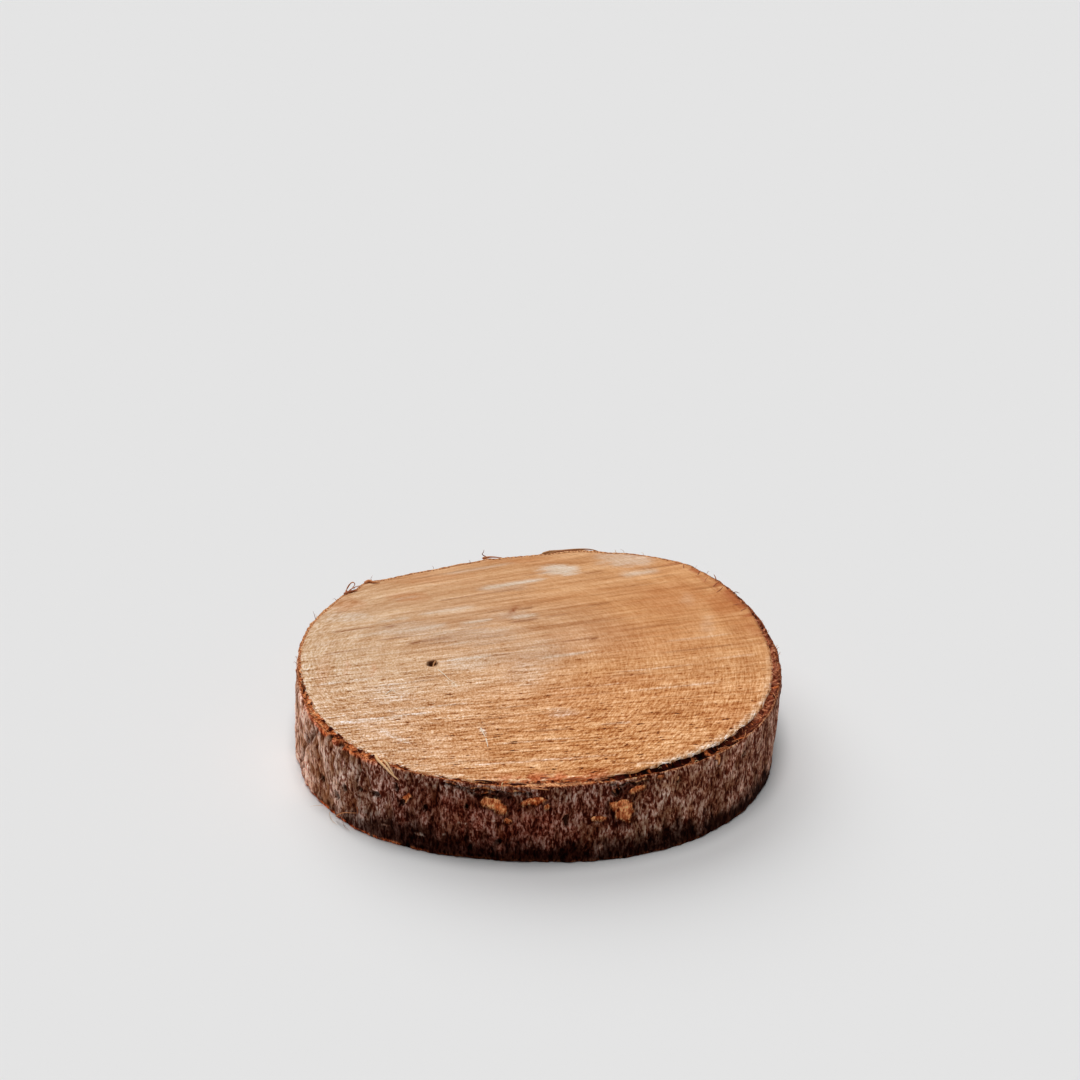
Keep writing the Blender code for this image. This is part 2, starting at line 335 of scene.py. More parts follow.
class Shader:
    """A new material and the nodes that are added to it"""

    def __init__(self, name):
        self.material = bpy.data.materials.new(name)
        self.material.use_nodes = True
        self.tree = self.material.node_tree
        self.surface = self.tree.nodes["Principled BSDF"]

    def node(self, kind, settings=None, sockets=None, output=0):
        """Add a node, set its settings, then set or link its sockets, and give one output"""
        node = self.tree.nodes.new("ShaderNode" + kind)
        for key, value in (settings or {}).items():
            setattr(node, key, value)
        for key, value in (sockets or {}).items():
            self.feed(node.inputs[key], value)
        return Wire(self, node.outputs[output])

    def feed(self, socket, value):
        if isinstance(value, Wire):
            self.tree.links.new(value.socket, socket)
        else:
            socket.default_value = value

    def attribute(self, name, output=1):
        return self.node("Attribute", {"attribute_name": name}, output=output)

    def split(self, vector):
        parts = self.node("SeparateXYZ", sockets={0: vector})
        node = parts.socket.node
        return [Wire(self, node.outputs[k]) for k in range(3)]

    def vector(self, x, y, z=0.0):
        return self.node("CombineXYZ", sockets={0: x, 1: y, 2: z})

    def stretched(self, vector, scale):
        return self.node("VectorMath", {"operation": "MULTIPLY"}, {0: vector, 1: scale})

    def noise(self, vector, detail=2.0, roughness=0.5, distortion=0.0):
        return self.node("TexNoise", {"noise_dimensions": "3D"},
                         {"Vector": vector, "Scale": 1.0, "Detail": detail,
                          "Roughness": roughness, "Distortion": distortion})

    def ramp(self, value, low, high, start=0.0, end=1.0):
        """A smooth step from one value to another"""
        return self.node("MapRange", {"interpolation_type": "SMOOTHSTEP"},
                         {0: value, 1: low, 2: high, 3: start, 4: end})

    def mix(self, share, first, second):
        """Mix two colours"""
        return self.node("Mix", {"data_type": "RGBA"}, {0: share, 6: first, 7: second}, output=2)

    def shade(self, colour, factor, green, blue):
        """Darken or lighten a colour, with a power of the factor for its green and its blue"""
        factors = self.vector(factor, factor ** green, factor ** blue)
        return self.node("VectorMath", {"operation": "MULTIPLY"}, {0: colour, 1: factors})

    def bump(self, height, distance, strength=1.0):
        return self.node("Bump", sockets={"Strength": strength, "Distance": distance, "Height": height})

    def finish(self, colour, roughness, normal=None, specular=0.3):
        self.feed(self.surface.inputs["Base Color"], colour)
        self.feed(self.surface.inputs["Roughness"], roughness)
        self.surface.inputs["Specular IOR Level"].default_value = specular
        if normal is not None:
            self.feed(self.surface.inputs["Normal"], normal)
        return self.material


def solid(colour):
    return (*[float(c) for c in colour], 1.0)


# Sizes and colours that a user would change


class SliceSizes(bpy.types.PropertyGroup):
    """Sizes of the slice and its marks"""

    thickness: FloatProperty(name="Thickness", description="Between the two sawn faces, in millimetres",
                             default=26.7, min=5.0, max=100.0)
    saw_relief: FloatProperty(name="Saw relief", description="Height of the saw's ridges, in millimetres",
                              default=0.12, min=0.0, max=1.0)
    pith_depth: FloatProperty(name="Pith depth", description="Depth of the pith hole, in millimetres",
                              default=6.0, min=0.0, max=13.0)
    bark_relief: FloatProperty(name="Bark relief", description="Depth of the furrows, in millimetres",
                               default=0.8, min=0.0, max=3.0)
    lip: FloatProperty(name="Bark lip", description="Thickness of the outer bark, in millimetres",
                       default=0.5, min=0.3, max=3.0)
    whiskers: IntProperty(name="Whiskers", description="Number of fine fibres round the upper rim",
                          default=110, min=0, max=1000)


class SliceColours(bpy.types.PropertyGroup):
    """Main colours of the wood and the bark, as they show on screen"""

    wood_left: FloatVectorProperty(name="Pale wood", description="Wood on the pith's side",
                                   default=(212, 173, 136), size=3)
    wood_right: FloatVectorProperty(name="Tan wood", description="Wood on the wide side",
                                    default=(208, 148, 97), size=3)
    bark_left: FloatVectorProperty(name="Grey bark", description="Bark on the weathered side",
                                   default=(160, 132, 118), size=3)
    bark_front: FloatVectorProperty(name="Brown bark", description="Bark at the front",
                                    default=(78, 37, 27), size=3)


class StudioSettings(bpy.types.PropertyGroup):
    """The camera and the light"""

    lens: FloatProperty(name="Lens", description="Focal length of the camera, in millimetres",
                        default=76.67)
    pitch: FloatProperty(name="Pitch", description="How far the camera looks down, in degrees",
                         default=28.0)
    sky: FloatProperty(name="Sky", description="Strength of the even light", default=0.09)
    key: FloatProperty(name="Key", description="Strength of the light from the back left", default=1.66)
    ceiling: FloatProperty(name="Ceiling", description="Strength of the light from above", default=1.59)


# Sawn wood


def streak_cover(across, along, streaks, breakup):
    """Cover of long streaks along the saw's marks"""
    cover = np.zeros(len(across))
    for sx, sy, length, width, strength in streaks:
        a0, l0 = saw_place(np.array([sx]), np.array([sy]))
        wander = 0.35 * width * (breakup - 0.5)
        side = np.abs(across - a0[0] + wander) / width
        run = np.abs(along - l0[0]) / (0.5 * length)
        inside = np.exp(-side ** 2) * (1.0 - smooth_step(run + 0.35 * (breakup - 0.5), 0.55, 1.1))
        cover = np.maximum(cover, strength * inside)
    return cover


def patch_cover(x, y, ovals, breakup):
    """Cover of soft patches"""
    cover = np.zeros(len(x))
    for ox, oy, wide, deep, strength in ovals:
        far = np.hypot((x - ox) / wide, (y - oy) / deep) + 0.7 * (breakup - 0.5)
        cover = np.maximum(cover, strength * (1.0 - smooth_step(far, 0.35, 1.15)))
    return cover


# Streaks along the saw's marks: x, y, length, width and strength
BROWN_STREAKS = (
    (-58.5, 18.0, 15, 0.40, 0.85), (-45.0, 12.8, 14, 0.40, 0.7), (-33.5, 11.6, 17, 0.65, 0.6),
    (-38.8, 9.8, 3, 0.55, 1.0), (-61.0, 4.3, 13, 0.50, 0.6), (-26.5, 38.3, 12, 0.45, 0.7),
    (-14.0, 45.7, 16, 0.30, 0.75), (-5.0, 23.6, 11, 0.75, 0.75), (19.5, 34.4, 9, 0.6, 0.5),
    (5.5, 27.1, 8, 0.5, 0.5), (12.0, 11.7, 14, 0.45, 0.7), (17.4, 12.6, 2.4, 0.7, 1.0),
    (-13.0, 2.3, 9, 0.35, 0.65), (50.0, 6.4, 26, 0.40, 0.55), (28.0, -9.2, 16, 0.40, 0.55),
    (-65.0, -11.0, 12, 0.35, 0.5), (-32.0, -10.4, 15, 0.6, 0.5), (42.0, 60.0, 17, 0.4, 0.6),
    (18.5, 55.8, 8, 0.7, 0.4), (55.0, 45.2, 10, 0.5, 0.4), (4.0, -40.4, 13, 0.5, 0.7),
    (-7.0, -27.5, 14, 0.45, 0.6), (-18.0, -38.0, 16, 0.45, 0.5), (-21.0, -57.0, 16, 0.5, 0.55),
    (27.5, -57.6, 9, 0.5, 0.6), (-38.0, 4.0, 12, 0.3, 0.35), (-47.0, 20.0, 4, 0.6, 0.8),
    (36.0, 20.2, 20, 0.4, 0.35), (13.0, -21.0, 20, 0.5, 0.45), (-20.0, 20.5, 12, 0.35, 0.35),
    (-10.0, -33.0, 26, 0.4, 0.45), (8.0, -30.5, 22, 0.4, 0.45), (-27.0, -44.0, 14, 0.35, 0.4),
    (-4.0, -50.5, 20, 0.35, 0.45), (20.0, -45.0, 24, 0.35, 0.4), (36.0, -31.0, 20, 0.35, 0.35),
    (-66.0, 9.0, 9, 0.3, 0.35), (-52.0, 6.5, 8, 0.35, 0.4), (33.0, 47.0, 14, 0.5, 0.35),
    (0.0, 55.0, 12, 0.5, 0.5), (-4.0, 31.5, 6, 0.6, 0.7),
    (-33.0, 54.0, 18, 0.5, 0.35), (-15.0, 42.0, 24, 0.6, 0.45),
)
PALE_STREAKS = (
    (-9.0, 47.6, 24, 1.2, 0.85), (33.0, 55.2, 14, 1.6, 0.6), (-46.0, 24.4, 12, 0.9, 0.75),
    (-29.0, 30.4, 20, 1.3, 0.5), (-38.0, 18.6, 18, 1.1, 0.6), (-19.5, 23.2, 12, 0.9, 0.65),
    (-5.0, 26.3, 10, 1.0, 0.6), (-22.0, 0.6, 18, 0.7, 0.6), (8.0, 2.4, 17, 0.7, 0.6),
    (42.0, -15.9, 30, 0.5, 0.28), (35.0, -5.6, 26, 0.4, 0.25), (-49.5, -34.7, 24, 1.3, 0.36),
    (-41.5, -51.5, 15, 0.6, 0.3), (23.0, -36.8, 9, 0.6, 0.35), (-43.0, 38.5, 10, 0.7, 0.3),
    (-20.0, 58.0, 26, 0.8, 0.4), (-30.0, 16.0, 10, 0.6, 0.5), (-13.0, 17.5, 16, 0.5, 0.35),
    (-58.0, -13.0, 22, 0.8, 0.4), (-40.0, -14.0, 20, 0.7, 0.4), (-38.0, -32.0, 14, 0.8, 0.5),
    (10.0, -55.0, 30, 0.6, 0.28), (-8.0, -57.5, 24, 0.6, 0.3), (0.0, -46.0, 26, 0.5, 0.3),
    (-34.0, -28.0, 24, 0.6, 0.4), (16.0, -16.0, 22, 0.4, 0.3), (60.0, 1.5, 16, 0.4, 0.2),
    (50.0, 13.0, 26, 0.5, 0.2), (-24.0, 10.0, 8, 0.5, 0.4), (-52.0, 15.5, 14, 0.8, 0.45),
)
# Soft patches: x, y, half width, half depth and strength
PALE_PATCHES = (
    (7.0, 57.0, 8.0, 4.6, 1.0), (29.0, 64.5, 12.0, 6.5, 0.62), (-4.0, -10.0, 7.0, 7.0, 0.2),
    (53.5, 20.0, 3.0, 8.0, 0.15), (48.0, 37.0, 3.0, 5.0, 0.12), (-60.0, 26.0, 9.0, 4.0, 0.45),
    (-45.0, -20.0, 10.0, 6.0, 0.25), (-22.0, -3.0, 9.0, 5.0, 0.3), (7.0, -31.0, 5.0, 3.0, 0.25),
)
GREY_PATCHES = (
    (-40.0, 18.0, 17.0, 6.5, 0.55), (-22.0, 14.0, 22.0, 8.0, 0.55), (-8.0, 27.0, 9.0, 4.0, 0.5),
    (-15.0, 1.0, 12.0, 6.0, 0.4), (0.0, 3.0, 10.0, 12.0, 0.4), (-12.0, 45.0, 12.0, 3.0, 0.4),
)
ORANGE_PATCHES = (
    (61.0, 36.0, 9.0, 11.0, 0.9), (44.0, 38.0, 16.0, 12.0, 0.5), (-42.0, 39.0, 8.0, 4.0, 0.55),
    (30.0, 12.0, 30.0, 14.0, 0.3), (56.0, -33.0, 10.0, 9.0, 0.5), (10.0, -21.0, 10.0, 5.0, 0.4),
    (66.0, 22.0, 6.0, 10.0, 0.5), (-62.0, 34.0, 8.0, 6.0, 0.5), (-40.0, 52.0, 20.0, 5.0, 0.35),
    (27.0, -12.0, 16.0, 4.0, 0.35), (-4.0, 64.0, 16.0, 3.5, 0.45), (-50.6, -6.5, 0.9, 6.5, 0.6),
    (-58.8, -5.0, 0.9, 7.0, 0.45), (-66.0, -8.0, 2.5, 14.0, 0.3),
)
# Colours of the sawn wood beside its two main ones, as they show on screen
WOOD_TONES = {
    "back": (208, 156, 110), "front": (205, 145, 92), "front_left": (205, 156, 114),
    "heart": (203, 158, 120), "orange_patch": (190, 116, 64), "grey_patch": (196, 166, 142),
    "pale_patch": (224, 202, 180),
    "brown_streak": (146, 88, 50), "pale_streak": (220, 195, 170), "scratch": (240, 218, 192),
    "knot_scar": (150, 82, 42), "white_rim": (218, 181, 146), "frayed_rim": (180, 86, 40),
    "checked_rim": (174, 96, 54), "torn_rim": (174, 100, 58), "tan_rim": (204, 144, 98),
    "pith_edge": (170, 116, 74), "pith": (78, 27, 8),
}
# Straight scratches: their two ends, half width and strength
SCRATCHES = (
    ((-47.5, -39.5), (-37.0, -48.0), 0.8, 0.3), ((-27.6, -12.0), (-24.6, -16.4), 0.85, 0.6),
    ((-16.9, -39.0), (-15.5, -44.5), 0.45, 0.5),
)
# The scar of a small knot: x, y, width and depth
KNOT_SCAR = (-8.1, 30.4, 1.0, 2.6)
# Pale and dark growth rings: share of the way to the bark, half width and strength
RING_BANDS = (
    (0.31, 0.030, 0.07), (0.47, 0.026, 0.05), (0.655, 0.028, 0.05), (0.865, 0.028, 0.05),
    (0.965, 0.02, 0.05), (0.25, 0.03, -0.04), (0.39, 0.03, -0.05), (0.57, 0.04, -0.05),
    (0.79, 0.045, -0.05), (0.925, 0.02, -0.06),
)


def line_cover(x, y, lines, breakup):
    """Cover of straight scratches"""
    cover = np.zeros(len(x))
    for (ax, ay), (bx, by), width, strength in lines:
        length = math.hypot(bx - ax, by - ay)
        run = ((x - ax) * (bx - ax) + (y - ay) * (by - ay)) / length ** 2
        side = np.abs((x - ax) * (by - ay) - (y - ay) * (bx - ax)) / length / width
        ends = smooth_step(run, -0.05, 0.1) * (1 - smooth_step(run, 0.85, 1.05))
        cover = np.maximum(cover, strength * np.exp(-side ** 2) * ends * (0.6 + 0.8 * breakup))
    return cover


def toward_wood(colour, name, share):
    """Mix an array of colours towards one of the wood's named colours"""
    return toward(colour, daylight(*WOOD_TONES[name]), share)


def paint_grain(x, y, share, bearing, colours):
    """The wood's slow changes from side to side, its growth rings, and the saw's smears"""
    across, along = saw_place(x, y)
    left, right = daylight(*colours.wood_left), daylight(*colours.wood_right)
    side = smooth_step(x + 12.0 * (patchy(along / 18 + 64, across / 5 + 64, 22) - 0.5), -52.0, 26.0)
    colour = left * (1 - side[:, None]) + right * side[:, None]
    back = smooth_step(y, 22.0, 62.0) * smooth_step(-x, -50.0, -10.0)
    colour = toward_wood(colour, "back", 0.8 * back)
    front = smooth_step(-y, 14.0, 48.0) * smooth_step(x, -50.0, -20.0)
    colour = toward_wood(colour, "front", 0.75 * front)
    front_left = smooth_step(-y, 5.0, 45.0) * smooth_step(-x, 0.0, 40.0)
    colour = toward_wood(colour, "front_left", 0.5 * front_left)
    heart = 1.0 - smooth_step(np.hypot((x + 8.0) / 46.0, (y - 16.0) / 24.0), 0.45, 1.1)
    colour = toward_wood(colour, "heart", 0.6 * heart)
    warmth = (0.3 * smooth_step(x, -62.0, -42.0) + 0.7 * smooth_step(-y, 0.0, 30.0))[:, None]
    colour = colour * (1.0 - warmth * np.array((0.01, 0.105, 0.19)))
    wobble = 0.03 * (layered(bearing / TURN * 24, share * 6, 23, 24) - 0.5)
    for middle, width, strength in RING_BANDS:
        ring = np.exp(-((share + wobble - middle) / width) ** 2)
        colour = shaded(colour, 1.0 + strength * ring)
    bands = patchy(along / 34 + 64, across / 2.6 + 64, 24) - 0.5
    thin = patchy(along / 17 + 64, across / 0.95 + 64, 25) - 0.5
    behind = smooth_step(y, -15.0, 25.0)
    glow = 0.02 + 0.03 * smooth_step(x, 20.0, 50.0) * smooth_step(y, -30.0, -10.0)
    broad_smears = (0.11 + 0.05 * behind) * bands
    thin_smears = (0.12 + 0.14 * behind + 0.12 * heart) * thin
    return shaded(colour, 1.0 + glow + broad_smears + thin_smears)


def paint_stains(colour, x, y, breakup):
    """The upper face's own patches, streaks and scratches, and its knot scar"""
    across, along = saw_place(x, y)
    colour = toward_wood(colour, "orange_patch", 0.8 * patch_cover(x, y, ORANGE_PATCHES, breakup))
    colour = toward_wood(colour, "grey_patch", 0.7 * patch_cover(x, y, GREY_PATCHES, breakup))
    colour = toward_wood(colour, "pale_patch", 0.9 * patch_cover(x, y, PALE_PATCHES, breakup))
    colour = toward_wood(colour, "brown_streak", streak_cover(across, along, BROWN_STREAKS, breakup))
    pale = streak_cover(across, along, PALE_STREAKS, breakup)
    colour = toward_wood(colour, "pale_streak", (1.0 + 0.15 * smooth_step(y, -5.0, 10.0)) * pale)
    colour = toward_wood(colour, "scratch", line_cover(x, y, SCRATCHES, breakup))
    scar_x, scar_y, scar_wide, scar_deep = KNOT_SCAR
    scar = np.exp(-((x - scar_x - 0.35 * (y - scar_y)) / scar_wide) ** 2 - ((y - scar_y) / scar_deep) ** 2)
    return toward_wood(colour, "knot_scar", 0.95 * scar)


def paint_rim(colour, bearing, edge):
    """The wood's last few millimetres before the bark: white fibres, frayed ends and checks"""
    pale_rim = 0.55 * stretch(bearing, "pale_front_rim") + 0.45 * stretch(bearing, "pale_left_rim")
    pale_rim = stretch(bearing, "white_rim") + pale_rim
    fuzz = patchy(bearing / TURN * 500, edge * 1.3, 27, 500)
    rim_band = 1.0 - smooth_step(edge + 1.8 * (fuzz - 0.5), 0.3, 2.9)
    broken = smooth_step(patchy(bearing / TURN * 90, edge / 4.0, 26, 90), 0.05, 0.45)
    white = rim_band * broken * np.minimum(0.3 + 0.9 * fuzz, 1.0) * pale_rim
    colour = toward_wood(colour, "white_rim", white)
    ragged = layered(bearing / TURN * 150, edge / 2.2, 30, 150)
    frayed = stretch(bearing, "frayed_rim") * (1 - smooth_step(edge, 1.5, 6.0))
    colour = toward_wood(colour, "frayed_rim", 0.9 * frayed * smooth_step(ragged, 0.36, 0.52))
    checks = smooth_step(patchy(bearing / TURN * 230, edge / 5.0, 29, 230), 0.36, 0.6)
    checks = checks * (1 - smooth_step(edge, 0.8, 5.5)) * stretch(bearing, "checked_rim")
    colour = toward_wood(colour, "checked_rim", 0.9 * checks)
    torn = smooth_step(layered(bearing / TURN * 90, 0.5 + 0 * bearing, 28, 90), 0.5, 0.7)
    torn = stretch(bearing, "torn_rim") * torn
    colour = toward_wood(colour, "torn_rim", 0.6 * torn * (1 - smooth_step(edge, 0.2, 2.0)))
    tan_rim = stretch(bearing, "tan_rim") * (1 - smooth_step(edge, 0.2, 1.3))
    return toward_wood(colour, "tan_rim", 0.5 * tan_rim)


def paint_wood(x, y, share, edge, is_top, colours):
    """The sawn wood's broad colours, on one of its two faces"""
    across, along = saw_place(x, y)
    bearing = to_bearing(x, y)
    breakup = layered(along / 3.0 + 64, across / 1.2 + 64, 21)
    colour = paint_grain(x, y, share, bearing, colours)
    if is_top:
        colour = paint_stains(colour, x, y, breakup)
    colour = paint_rim(colour, bearing, edge)
    pith = np.hypot((x - PITH[0]) / PITH_STAIN[0], (y - PITH[1]) / PITH_STAIN[1]) + 0.2 * (breakup - 0.5)
    colour = toward_wood(colour, "pith_edge", 0.6 * (1 - smooth_step(pith, 1.0, 1.35)))
    return toward_wood(colour, "pith", 1.0 - smooth_step(pith, 0.92, 1.06))


def sawn_relief(x, y, share, edge, seed, height):
    """Height of the sawn surface over its own level, in millimetres"""
    across, along = saw_place(x, y)
    height = height * (0.7 + 0.9 * smooth_step(-y, -20.0, 40.0))
    ridges = patchy(along / 60 + 64, across / 0.95 + 64, seed) - 0.5
    scores = patchy(along / 22 + 64, across / 0.5 + 64, seed + 1) - 0.5
    broad = layered(along / 30 + 64, across / 14 + 64, seed + 2) - 0.5
    rings = np.sin(share * TURN * 24.0)
    bearing = to_bearing(x, y)
    fray = patchy(bearing / TURN * 700, edge * 1.2, seed + 3, 700) - 0.35
    rim = (1.0 - smooth_step(edge, 0.0, 0.9)) * (0.35 * fray - 0.18)
    return height * (ridges + 0.6 * scores) + 0.12 * broad + 0.02 * rings + rim


def coons_place(s, t):
    """Map a square onto the wood's outline, with its rows along the saw's marks"""
    def edge(start, end, share):
        bearing = (SAW_MIDDLE_BEARING + math.radians(start) + math.radians(end - start) * share) % TURN
        radius = wood_radius(bearing)
        return np.stack([radius * np.cos(bearing), radius * np.sin(bearing)])

    front, back = edge(225, 315, s), edge(135, 45, s)
    left, right = edge(225, 135, t), edge(-45, 45, t)
    zero = np.zeros(1)
    corners = [edge(225, 315, zero), edge(225, 315, zero + 1), edge(135, 45, zero), edge(135, 45, zero + 1)]
    flat = (1 - t) * front + t * back + (1 - s) * left + s * right
    flat = flat - (1 - s) * (1 - t) * corners[0] - s * (1 - t) * corners[1]
    flat = flat - (1 - s) * t * corners[2] - s * t * corners[3]
    return flat[0], flat[1]


class OBJECT_OT_sawn_wood(bpy.types.Operator):
    """Model the wood between the two saw cuts, with its rings, saw marks and pith hole"""

    bl_idname = "object.sawn_wood"
    bl_label = "Sawn wood"

    COLUMNS = 120
    ROWS = 330
    SIDE_ROWS = 4

    def perimeter(self, share):
        """The square's place for a share of the way round its border"""
        columns, rows = self.COLUMNS, self.ROWS
        step = np.round(share * 2 * (columns + rows))
        s = np.clip(np.where(step <= columns + rows, step, 2 * columns + rows - step) / columns, 0, 1)
        t = np.where(step <= columns + rows, step - columns, 2 * (columns + rows) - step)
        return s, np.clip(t / rows, 0, 1)

    def execute(self, context):
        sizes = context.scene.slice_sizes
        colours = context.scene.slice_colours
        thickness = sizes.thickness
        top_face = (self.COLUMNS, self.ROWS, 0.0)
        base_face = (self.COLUMNS, self.ROWS, 1.0)
        edge_band = (2 * (self.COLUMNS + self.ROWS), self.SIDE_ROWS, 2.0)
        data = grid_mesh("sawn_wood", top_face, base_face, edge_band)
        points = read_points(data)
        label = np.round(points[:, 2])
        side = label == 2
        around_s, around_t = self.perimeter(points[:, 0])
        s = np.where(side, around_s, points[:, 0])
        t = np.where(side, around_t, points[:, 1])
        x, y = coons_place(s, t)
        bearing = to_bearing(x, y)
        edge = np.maximum(wood_radius(bearing) - np.hypot(x, y), 0.0)
        share = ring_place(x, y)
        across, along = saw_place(x, y)
        top = thickness + sawn_relief(x, y, share, edge, 31, sizes.saw_relief) - 0.1
        base = 0.06 - np.minimum(sawn_relief(x, y, share, edge, 41, 0.7 * sizes.saw_relief) - 0.1, 0.06)
        down = np.where(side, points[:, 1], label)
        z = top * (1 - down) + base * down
        on_top = down < 0.5
        tone = np.where(on_top[:, None], paint_wood(x, y, share, edge, True, colours),
                        paint_wood(x, y, share, edge, False, colours))
        set_points(data, x, y, z)
        set_attribute(data, "tone", tone)
        set_attribute(data, "saw", np.stack([across, along, np.zeros(len(x))], axis=1))
        far = np.hypot(x - PITH[0], y - PITH[1])
        round_pith = np.arctan2(y - PITH[1], x - PITH[0]) * 60.0
        set_attribute(data, "rings", np.stack([far, round_pith, share], axis=1))
        finish_piece("sawn_wood", data, sawn_wood_material(),
                     lambda mesh: open_pith(mesh, thickness, sizes.pith_depth))
        return {"FINISHED"}


def open_pith(mesh, thickness, depth):
    """Sink a small ragged hole at the pith, on both faces, in faces made finer for it"""
    middle = Vector(((PITH[0] + TRUNK_MIDDLE[0]) * MM, (PITH[1] + TRUNK_MIDDLE[1]) * MM))

    def near(vertex, reach):
        return (vertex.co.xy - middle).length < reach * MM

    flat_edges = [e for e in mesh.edges if near(e.verts[0], PITH_FACES) and near(e.verts[1], PITH_FACES)]
    bmesh.ops.subdivide_edges(mesh, edges=flat_edges, cuts=3, use_grid_fill=True)
    for vertex in mesh.verts:
        if not near(vertex, PITH_FACES + 0.4):
            continue
        way = vertex.co.xy - middle
        angle = math.atan2(way.y, way.x)
        ragged = 1.0 + 0.12 * math.sin(2 * angle + 0.6) + 0.08 * math.sin(5 * angle + 2.0)
        far = math.hypot(way.x / PITH_HOLE[0], way.y / PITH_HOLE[1]) / MM / ragged
        sink = 1.0 - float(smooth_step(np.float64(far), 0.86, 1.04))
        if vertex.co.z > 0.5 * thickness * MM:
            vertex.co.z -= sink * depth * MM
        else:
            vertex.co.z += sink * depth * MM


def sawn_wood_material():
    shader = Shader("Sawn end grain")
    tone = shader.attribute("tone", 0)
    across, along = shader.split(shader.attribute("saw"))[:2]
    far, round_pith, share = shader.split(shader.attribute("rings"))
    place = shader.node("TexCoord", output=3)
    x, y = shader.split(place)[:2]
    # places here are in metres, and noise scales in grains to the metre
    right = shader.ramp(x, -0.010, 0.030)
    near = shader.ramp(y, 0.042, -0.050) ** 1.4
    # saw lines: broad smears, lines and hairs
    broad = shader.noise(shader.vector(across * 0.30, along * 0.030, 1.0), 1.0)
    line = shader.ramp(shader.noise(shader.vector(across * 0.62, along * 0.045, 3.0), 1.0, 0.6), 0.36, 0.64)
    hair = shader.ramp(shader.noise(shader.vector(across * 1.2, along * 0.12, 7.0), 1.0, 0.6), 0.36, 0.64)
    # fibres along the growth rings, the rings themselves, and crumbs of torn grain
    fibre_place = shader.vector(far * 1.5, round_pith * 0.28, 5.0)
    stroke = shader.ramp(shader.noise(fibre_place, 1.0, 0.6), 0.36, 0.64)
    year = shader.noise(shader.vector(share * 40.0, round_pith * 0.012, 9.0), 2.0, 0.6)
    crumb = shader.noise(shader.stretched(place, (1600.0, 1080.0, 380.0)), 2.0, 0.75)
    dash = shader.ramp(shader.noise(shader.vector(across * 1.25, along * 0.28, 11.0), 2.0, 0.6), 0.43, 0.26)
    # chatter of the saw, slanting across its lines at the front
    slant = shader.vector((0.93 * x - 0.37 * y) * 1500.0, (0.37 * x + 0.93 * y) * 380.0, 13.0)
    tick = shader.ramp(shader.noise(slant, 1.0, 0.6), 0.36, 0.64)
    slanted = shader.ramp(x, -0.030, 0.010)
    factor = 1.0 + 0.10 * (broad - 0.5) + 0.24 * (year - 0.5)
    factor = factor + (0.07 + 0.20 * near) * (line - 0.5) + (0.03 + 0.38 * near) * (hair - 0.5)
    edge_left = shader.ramp(x, -0.046, -0.068)
    factor = factor + (0.09 + 0.10 * near + 0.24 * right * near + 0.16 * edge_left) * (stroke - 0.5)
    factor = factor + (0.32 + (1.95 - 0.8 * slanted) * near) * (crumb - 0.5)
    factor = factor + 0.30 * slanted * near * (tick - 0.5)
    factor = factor - (0.16 + 0.88 * near) * dash + 0.012 + 0.10 * near
    # the pith hole keeps its own dark colour
    factor = 1.0 + (factor - 1.0) * shader.ramp(far, 1.5, 2.6)
    colour = shader.shade(tone, factor, 1.7, 2.6)
    height = 0.4 * line + 0.35 * hair + 0.2 * stroke * right + (0.9 * crumb - 0.3 * dash) * near
    return shader.finish(colour, shader.ramp(line, 0.0, 1.0, 0.92, 0.80),
                         shader.bump(height, 0.0004, 0.6), 0.12)


# Bark


def bark_furrows(share, height):
    """Ridges and scales, from about -1 in a furrow to 1 on a crest"""
    wander = 1.1 * (patchy(share * 60, height / 9.0, 51, 60) - 0.5)
    coarse = patchy(share * 150 + wander, height / 10.0, 52, 150)
    fine = patchy(share * 340 + 2.0 * wander, height / 4.0, 53, 340)
    needles = patchy(share * 620 + 3.0 * wander, height / 2.0, 54, 620)
    return 0.85 * (coarse - 0.5) + 0.8 * (fine - 0.5) + 0.6 * (needles - 0.5)


# Where the outer bark has flaked: bearing, height, half width and half height in degrees and
# millimetres, and lean in degrees for each millimetre up
FLAKES = (
    (259.3, 20.3, 2.9, 1.5, 0.25), (261.4, 18.6, 1.3, 1.9, 0.0), (269.0, 21.7, 2.1, 1.2, 0.2),
    (266.7, 20.9, 1.0, 0.9, 0.0), (262.7, 14.4, 0.8, 0.9, 0.0), (289.2, 18.2, 2.6, 2.0, -0.1),
    (290.2, 14.9, 2.1, 2.3, -0.3), (293.2, 22.6, 2.0, 1.2, 0.5), (283.8, 14.7, 1.8, 0.8, 0.0),
    (272.0, 19.6, 0.7, 0.9, 0.0), (238.6, 17.5, 0.8, 1.6, 0.4), (299.0, 25.2, 0.7, 0.7, 0.0),
    (78.0, 14.0, 2.6, 2.4, 0.2), (81.0, 10.0, 1.2, 1.6, 0.0), (128.0, 19.0, 2.0, 1.4, -0.2),
    (18.0, 9.0, 1.8, 2.6, 0.1), (22.5, 16.0, 1.3, 1.0, 0.3), (152.0, 9.0, 1.2, 1.9, 0.0),
)
